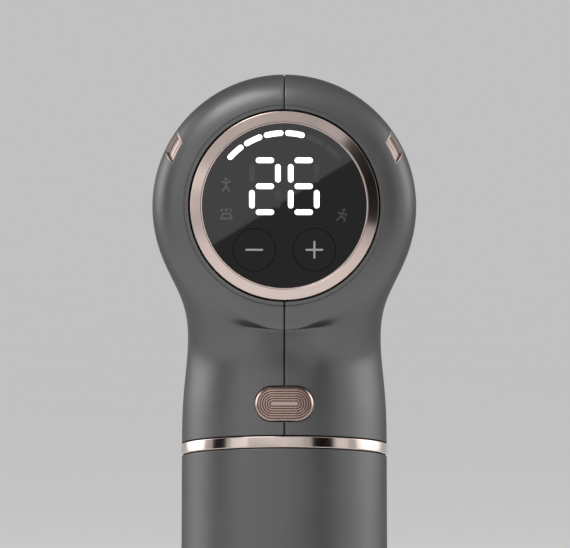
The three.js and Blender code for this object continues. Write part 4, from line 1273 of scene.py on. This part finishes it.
@dataclass
class Handle:
    """The trim ring, the sleeve, the base cap with the socket's pocket, and the foot pad."""

    bore: float = GRIP.radius - GRIP.wall
    edge: float = 0.25
    cap_edge: float = 0.3
    plug: float = 4.3
    plug_wall: float = 2.0
    floor: float = 2.5
    cavity: float = 17.5
    ledge: float = 1.4
    pad: float = 23.0
    recess: float = 1.3
    pad_bevel: float = 0.3
    groove: float = 18.0
    groove_width: float = 1.0
    groove_depth: float = 0.5
    port: Point = (9.0, 3.2)

    def build(self) -> None:
        """Models the handle's pieces."""
        self._ring()
        self._sleeve()
        self._cap()
        self._pad()

    def _ring(self) -> None:
        """Models the polished band."""
        low, high = GRIP.band_middle - GRIP.band / 2, GRIP.band_middle + GRIP.band / 2
        made = ring("trim_band", self.bore, GRIP.radius + GRIP.band_proud, low, high)
        hand_over(moved(softened(made, self.edge), GRIP_FRAME), "rose_metal", ["trim_ring"])

    def _sleeve(self) -> None:
        """Models the one-piece sleeve, which swells a little towards the foot."""
        low = GRIP.cap + CLEARANCE
        steps = 3 * ARC_STEPS
        curve = [(GRIP.radius + GRIP.flare * (1 + math.cos(math.pi * i / steps)) / 2,
                  low + i / steps * (GRIP.sleeve_top - low) * GRIP.flare_share)
                 for i in range(steps + 1)]
        made = turned("grip_sleeve", [
            (self.bore, low), *curve, (GRIP.radius, GRIP.sleeve_top), (self.bore, GRIP.sleeve_top),
        ])
        hand_over(moved(softened(made, self.edge), GRIP_FRAME), "body_grey", ["handle_sleeve"])

    def _above(self, height: float) -> Mesh:
        """Makes a tool that keeps what lies above a level."""
        return slab("level", box_corners(FAR, FAR), height, FAR)

    def _cap(self) -> None:
        """Models the base cap, raked like the handle and cut level below."""
        outer, ledge = GRIP.radius + GRIP.flare, GRIP.cap - self.ledge
        plug = self.bore - CLEARANCE
        body = turned("foot_cap", [
            (0, -2 * self.plug), (outer, -2 * self.plug), (outer, GRIP.cap), (plug, GRIP.cap),
            (plug, GRIP.cap + self.plug), (0, GRIP.cap + self.plug),
        ], GRIP_FRAME)
        softened(worked(body, [self._above(GRIP.sole)], Operation.KEEP), self.cap_edge)
        room = disc("room", self.cavity, -2 * self.plug, ledge + OVERRUN, GRIP_FRAME)
        worked(room, [self._above(GRIP.sole + self.floor)], Operation.KEEP)
        top = GRIP.cap + self.plug + OVERRUN
        board = disc("board_room", plug - self.plug_wall, ledge, top, GRIP_FRAME)
        recess = disc("recess", self.pad + CLEARANCE, -OVERRUN, GRIP.sole + self.recess)
        width, height = self.port
        half, rear, front = width / 2 + CLEARANCE, OVERRUN - self.cavity, -outer - OVERRUN
        corners = [(-half, front), (half, front), (half, rear), (-half, rear)]
        low = ledge + CLEARANCE - height - 2 * CLEARANCE
        pocket = slab("pocket", corners, low, ledge + CLEARANCE, GRIP_FRAME)
        hand_over(worked(body, [room, board, recess, pocket]), "body_grey", ["base_cap"])

    def _pad(self) -> None:
        """Models the rubber foot pad with its ring groove."""
        top = GRIP.sole + self.recess - CLEARANCE
        made = turned("foot_pad", [
            (0, 0), (self.groove, 0), (self.groove, self.groove_depth),
            (self.groove + self.groove_width, self.groove_depth), (self.groove + self.groove_width, 0),
            (self.pad - self.pad_bevel, 0), (self.pad, self.pad_bevel), (self.pad, top), (0, top),
        ])
        hand_over(made, "black_rubber", ["base_pad"])


# The massage head


@dataclass
class MassageHead:
    """The front collar, the piston rod and the hot and cold head on it."""

    # The collar
    face: float = 59.0
    collar: float = 22.0
    collar_bore: float = 13.3
    collar_flange: float = 24.0
    flange_height: float = 2.4
    collar_proud: float = 0.9
    collar_edge: float = 0.5
    # The rod
    rod: float = 7.0
    rod_edge: float = 0.3
    bore: float = 4.9
    rod_front: float = 66.0
    bore_depth: float = 20.0
    spigot: float = 3.4
    spigot_depth: float = 6.0
    rod_start: float = 18.85
    # The seal between them
    seal: float = 3.0
    seal_lip: float = 1.0
    seal_edge: float = 0.2
    # The head's stem
    stem: float = 4.6
    stem_edge: float = 0.25
    stem_back: float = 49.6
    stem_flange: float = 11.0
    stem_flange_height: float = 3.2
    groove: float = 0.75
    groove_at: float = 7.5
    groove_width: float = 1.6
    # The head's housing
    head: float = 23.0
    head_edge: float = 0.35
    wall: float = 2.0
    floor: float = 2.2
    depth: float = 16.2
    wire: float = 3.0
    slots: int = 8
    slot: Point = (4.0, 5.0)
    # The plate on it
    plate: float = 22.6
    rim: float = 1.2
    seat: float = 0.8
    dome: float = 4.8
    middle: float = 12.0
    middle_rise: float = 0.6

    @property
    def stem_front(self) -> float:
        """Where the stem's flange ends."""
        return self.rod_front + CLEARANCE + self.stem_flange_height

    @property
    def head_back(self) -> float:
        """Where the head's housing starts."""
        return self.stem_front + CLEARANCE

    @property
    def head_front(self) -> float:
        """Where the head's housing ends."""
        return self.head_back + self.depth

    def build(self) -> None:
        """Models the pieces at the nose."""
        self._collar()
        self._rod()
        self._stem()
        self._housing()
        self._plate()

    def _give(self, obj: Mesh, slot: str, node: str, body: str = "casing") -> None:
        """Hands a piece over from the nose's frame."""
        hand_over(moved(obj, NOSE_FRAME), slot, [node], body)

    def _collar(self) -> None:
        """Models the plated collar and the seal in it."""
        back = self.face - BARREL.wall - self.flange_height - 4 * CLEARANCE
        front = self.face + self.collar_proud
        step = back + self.flange_height
        collar = turned("nose_collar", [
            (self.collar_bore, back), (self.collar_flange, back), (self.collar_flange, step),
            (self.collar, step), (self.collar, front), (self.collar_bore, front),
        ])
        self._give(softened(collar, self.collar_edge), "rose_plated", "front_collar")
        inner, outer = self.rod + CLEARANCE, self.collar_bore - CLEARANCE
        low = back + self.seal_lip
        high = low + self.seal
        seal = turned("rod_wiper", [
            (inner, low), (outer, low), (outer, high), (inner + self.seal_lip, high),
            (inner, high - self.seal_lip),
        ])
        self._give(softened(seal, self.seal_edge), "black_rubber", "rod_seal")

    def _rod(self) -> None:
        """Models the hollow piston rod."""
        bottom = self.rod_front - self.bore_depth
        socket, end = self.spigot + CLEARANCE, self.rod_start + self.spigot_depth
        made = turned("hollow_rod", [
            (0, bottom), (self.bore, bottom), (self.bore, self.rod_front), (self.rod, self.rod_front),
            (self.rod, self.rod_start), (socket, self.rod_start), (socket, end), (0, end),
        ])
        self._give(softened(made, self.rod_edge), "bare_aluminium", "piston_rod", "piston")

    def _stem(self) -> None:
        """Models the head's stem, with its flange and ring groove."""
        low = self.stem_back + self.groove_at
        high, step = low + self.groove_width, self.rod_front + CLEARANCE
        inner = self.stem - self.groove
        made = turned("socket_stem", [
            (0, self.stem_back), (self.stem, self.stem_back), (self.stem, low), (inner, low),
            (inner, high), (self.stem, high), (self.stem, step), (self.stem_flange, step),
            (self.stem_flange, self.stem_front), (0, self.stem_front),
        ])
        self._give(softened(made, self.stem_edge), "dark_plastic", "head_stem", "head")

    def _housing(self) -> None:
        """Models the head's housing with a ring of air slots."""
        back, front = self.head_back, self.head_front
        floor, inner = back + self.floor, self.head - self.wall
        made = turned("head_shell", [
            (self.wire, back), (self.head - self.wall / 2, back), (self.head, back + self.wall / 2),
            (self.head, front), (inner, front), (inner, floor), (self.wire, floor),
        ])
        softened(made, self.head_edge)
        width, long = self.slot
        out = Matrix.Translation((0, 0, floor + OVERRUN + long / 2)) @ Matrix.Rotation(QUARTER, 4, "Y")
        for i in range(self.slots):
            place = Matrix.Rotation((i + 0.5) * 2 * math.pi / self.slots, 4, "Z") @ out
            worked(made, [slab("air_slot", stadium(long, width), self.head - 2 * self.wall,
                               self.head + OVERRUN, place)])
        self._give(made, "body_grey", "head_housing", "head")

    def _plate(self) -> None:
        """Models the polished plate that touches the skin."""
        seat = self.head_front - self.seat + CLEARANCE
        rim, inner = self.head_front + CLEARANCE, self.head - self.wall - CLEARANCE
        arc = [(self.middle + (self.plate - self.middle) * along,
                rim + self.rim + (self.dome - self.rim) * up) for along, up in QUARTER_ARC]
        self._give(turned("skin_plate", [
            (0, seat), (inner, seat), (inner, rim), (self.plate, rim), *arc,
            (0, rim + self.dome + self.middle_rise),
        ]), "bare_aluminium", "contact_plate", "head")


# The studio


BLACK_CARD = Finish("black_card", (0.004, 0.004, 0.004), 0.9, specular=0.0)

# How far a lamp's light spreads
NARROW = math.radians(66)
WIDE = math.radians(100)


@dataclass(frozen=True)
class Spot:
    """A place round the object: turned from the front towards the right, raised, and away from it."""

    azimuth: float
    elevation: float
    distance: float
    centre: Place = (0.0, 0.0, 0.13)

    def frame(self, roll: float = 0.0) -> Matrix:
        """Gives the frame at this place whose z points away from the object.

        Args:
            roll: How far it is turned about z, in degrees, anticlockwise from behind it.

        Returns:
            The frame, in metres.
        """
        return (Matrix.Translation(self.centre) @ Matrix.Rotation(math.radians(self.azimuth), 4, "Z")
                @ Matrix.Rotation(math.radians(90 - self.elevation), 4, "X")
                @ Matrix.Translation((0, 0, self.distance))
                @ Matrix.Rotation(math.radians(roll), 4, "Z"))


@dataclass(frozen=True)
class SoftBox:
    """A soft lamp that faces the object, with its light held together to spare the floor beside it."""

    name: str
    spot: Spot
    size: Point
    radiance: float
    roll: float = 0.0
    spread: float = WIDE

    @property
    def gain(self) -> float:
        """How much brighter the lamp is, seen head on, for its light being held together."""
        half = self.spread / 2
        return 1 / (math.sin(half) ** 2 - (half - math.sin(half) * math.cos(half)) / math.tan(half))

    def build(self) -> None:
        """Adds the lamp, unseen by the camera itself."""
        bpy.ops.object.light_add(type="AREA")
        lamp = bpy.context.object
        lamp.name = self.name
        lamp.matrix_world = self.spot.frame(self.roll)
        lamp.data.shape = "RECTANGLE"
        lamp.data.size, lamp.data.size_y = self.size
        lamp.data.spread = self.spread
        lamp.data.energy = self.radiance * math.pi * self.size[0] * self.size[1] / self.gain
        lamp.visible_camera = False


@dataclass(frozen=True)
class Card:
    """A dark card that faces the object and shows as a dark stripe in the metal."""

    name: str
    spot: Spot
    size: Point

    def build(self) -> None:
        """Adds the card, unseen by the camera itself."""
        bpy.ops.mesh.primitive_plane_add(size=1)
        card = bpy.context.object
        card.name = self.name
        moved(card, self.spot.frame() @ Matrix.Diagonal((*self.size, 1, 1)))
        card.visible_camera = False
        card.data.materials.append(BLACK_CARD.material())


@dataclass(frozen=True)
class Studio:
    """The pale floor, the world, the lamps, the dark cards and the camera."""

    camera: Place = (0.0, -0.905, 0.1313)
    lens: float = 245.0
    sensor: float = 36.0
    shift: float = 0.0012
    floor: float = 80.0
    floor_tone: float = 0.9
    sky: float = 0.59
    lamps: Sequence[SoftBox] = (
        SoftBox("left_box", Spot(-121, 16, 1.2), (0.95, 0.82), 3.3, spread=NARROW),
        SoftBox("left_fill", Spot(-52, 12, 1.2), (0.45, 0.6), 0.5),
        SoftBox("front_fill", Spot(-14, 14, 1.4), (1.9, 0.26), 0.4),
        SoftBox("right_fill", Spot(68, 12, 1.2), (0.35, 0.6), 0.35),
        SoftBox("right_box", Spot(114, 16, 1.2), (1.2, 0.82), 2.7, spread=NARROW),
        SoftBox("key_box", Spot(-43, 57, 1.2), (0.74, 0.45), 5.4),
        SoftBox("window_box", Spot(-1.52, 3.84, 3.0), (0.5, 0.3), 1.15, roll=31.5),
    )
    cards: Sequence[Card] = (
        Card("left_card", Spot(-78, 16, 0.9), (0.3, 0.7)),
        Card("right_card", Spot(44, 13, 0.8), (0.36, 0.56)),
        Card("top_card", Spot(2, 31, 1.0), (0.42, 0.26)),
    )

    def build(self) -> None:
        """Sets the scene round the object."""
        self._camera()
        self._floor()
        self._world()
        for piece in (*self.lamps, *self.cards):
            piece.build()
        bpy.context.scene.view_settings.view_transform = "Standard"

    def _camera(self) -> None:
        """Adds the camera at the photograph's angle."""
        bpy.ops.object.camera_add(location=self.camera, rotation=(QUARTER, 0, 0))
        made = bpy.context.object
        made.data.lens = self.lens
        made.data.sensor_width = self.sensor
        made.data.shift_x = self.shift
        made.data.clip_end = 2 * self.floor
        bpy.context.scene.camera = made

    def _floor(self) -> None:
        """Adds the pale floor."""
        bpy.ops.mesh.primitive_circle_add(vertices=ROUND_STEPS, radius=self.floor, fill_type="NGON")
        made = bpy.context.object
        made.name = "pale_floor"
        paint = Finish("pale_floor", (self.floor_tone,) * 3, 0.9, specular=0.0, grain=300, tone=0.01,
                       patches=4)
        made.data.materials.append(paint.material())

    def _world(self) -> None:
        """Gives the world an even pale grey, seen in the far floor's tone so that no horizon shows."""
        world = bpy.data.worlds.new("studio")
        world.use_nodes = True
        nodes, links = world.node_tree.nodes, world.node_tree.links
        light, seen = nodes["Background"], nodes.new("ShaderNodeBackground")
        light.inputs["Color"].default_value = (self.sky,) * 3 + (1,)
        seen.inputs["Color"].default_value = (self.sky * self.floor_tone,) * 3 + (1,)
        path, mix = nodes.new("ShaderNodeLightPath"), nodes.new("ShaderNodeMixShader")
        share = path.outputs["Is Camera Ray"]
        for kind in ("Is Glossy Ray", "Is Transmission Ray"):
            either = nodes.new("ShaderNodeMath")
            either.operation = "MAXIMUM"
            links.new(share, either.inputs[0])
            links.new(path.outputs[kind], either.inputs[1])
            share = either.outputs["Value"]
        links.new(share, mix.inputs["Fac"])
        links.new(light.outputs["Background"], mix.inputs[1])
        links.new(seen.outputs["Background"], mix.inputs[2])
        links.new(mix.outputs["Shader"], nodes["World Output"].inputs["Surface"])
        bpy.context.scene.world = world


def dress_nodes() -> None:
    """Gives every node that stays in view its finish."""
    slots = {row["node"]: row["material_slot"] for row in frame["record"]["subparts"]}
    for name, obj in frame["nodes"].items():
        obj.data.materials.clear()
        obj.data.materials.append(FINISHES[slots[name]].material())


def main() -> None:
    """Builds the object and the studio in order."""
    logging.basicConfig(level=logging.INFO)
    deselect()
    dress_nodes()
    for assembly in (Casing(), Display(), Handle(), MassageHead(), Studio()):
        assembly.build()
        LOG.info("%s is built", type(assembly).__name__)


if __name__ == "__main__":
    main()
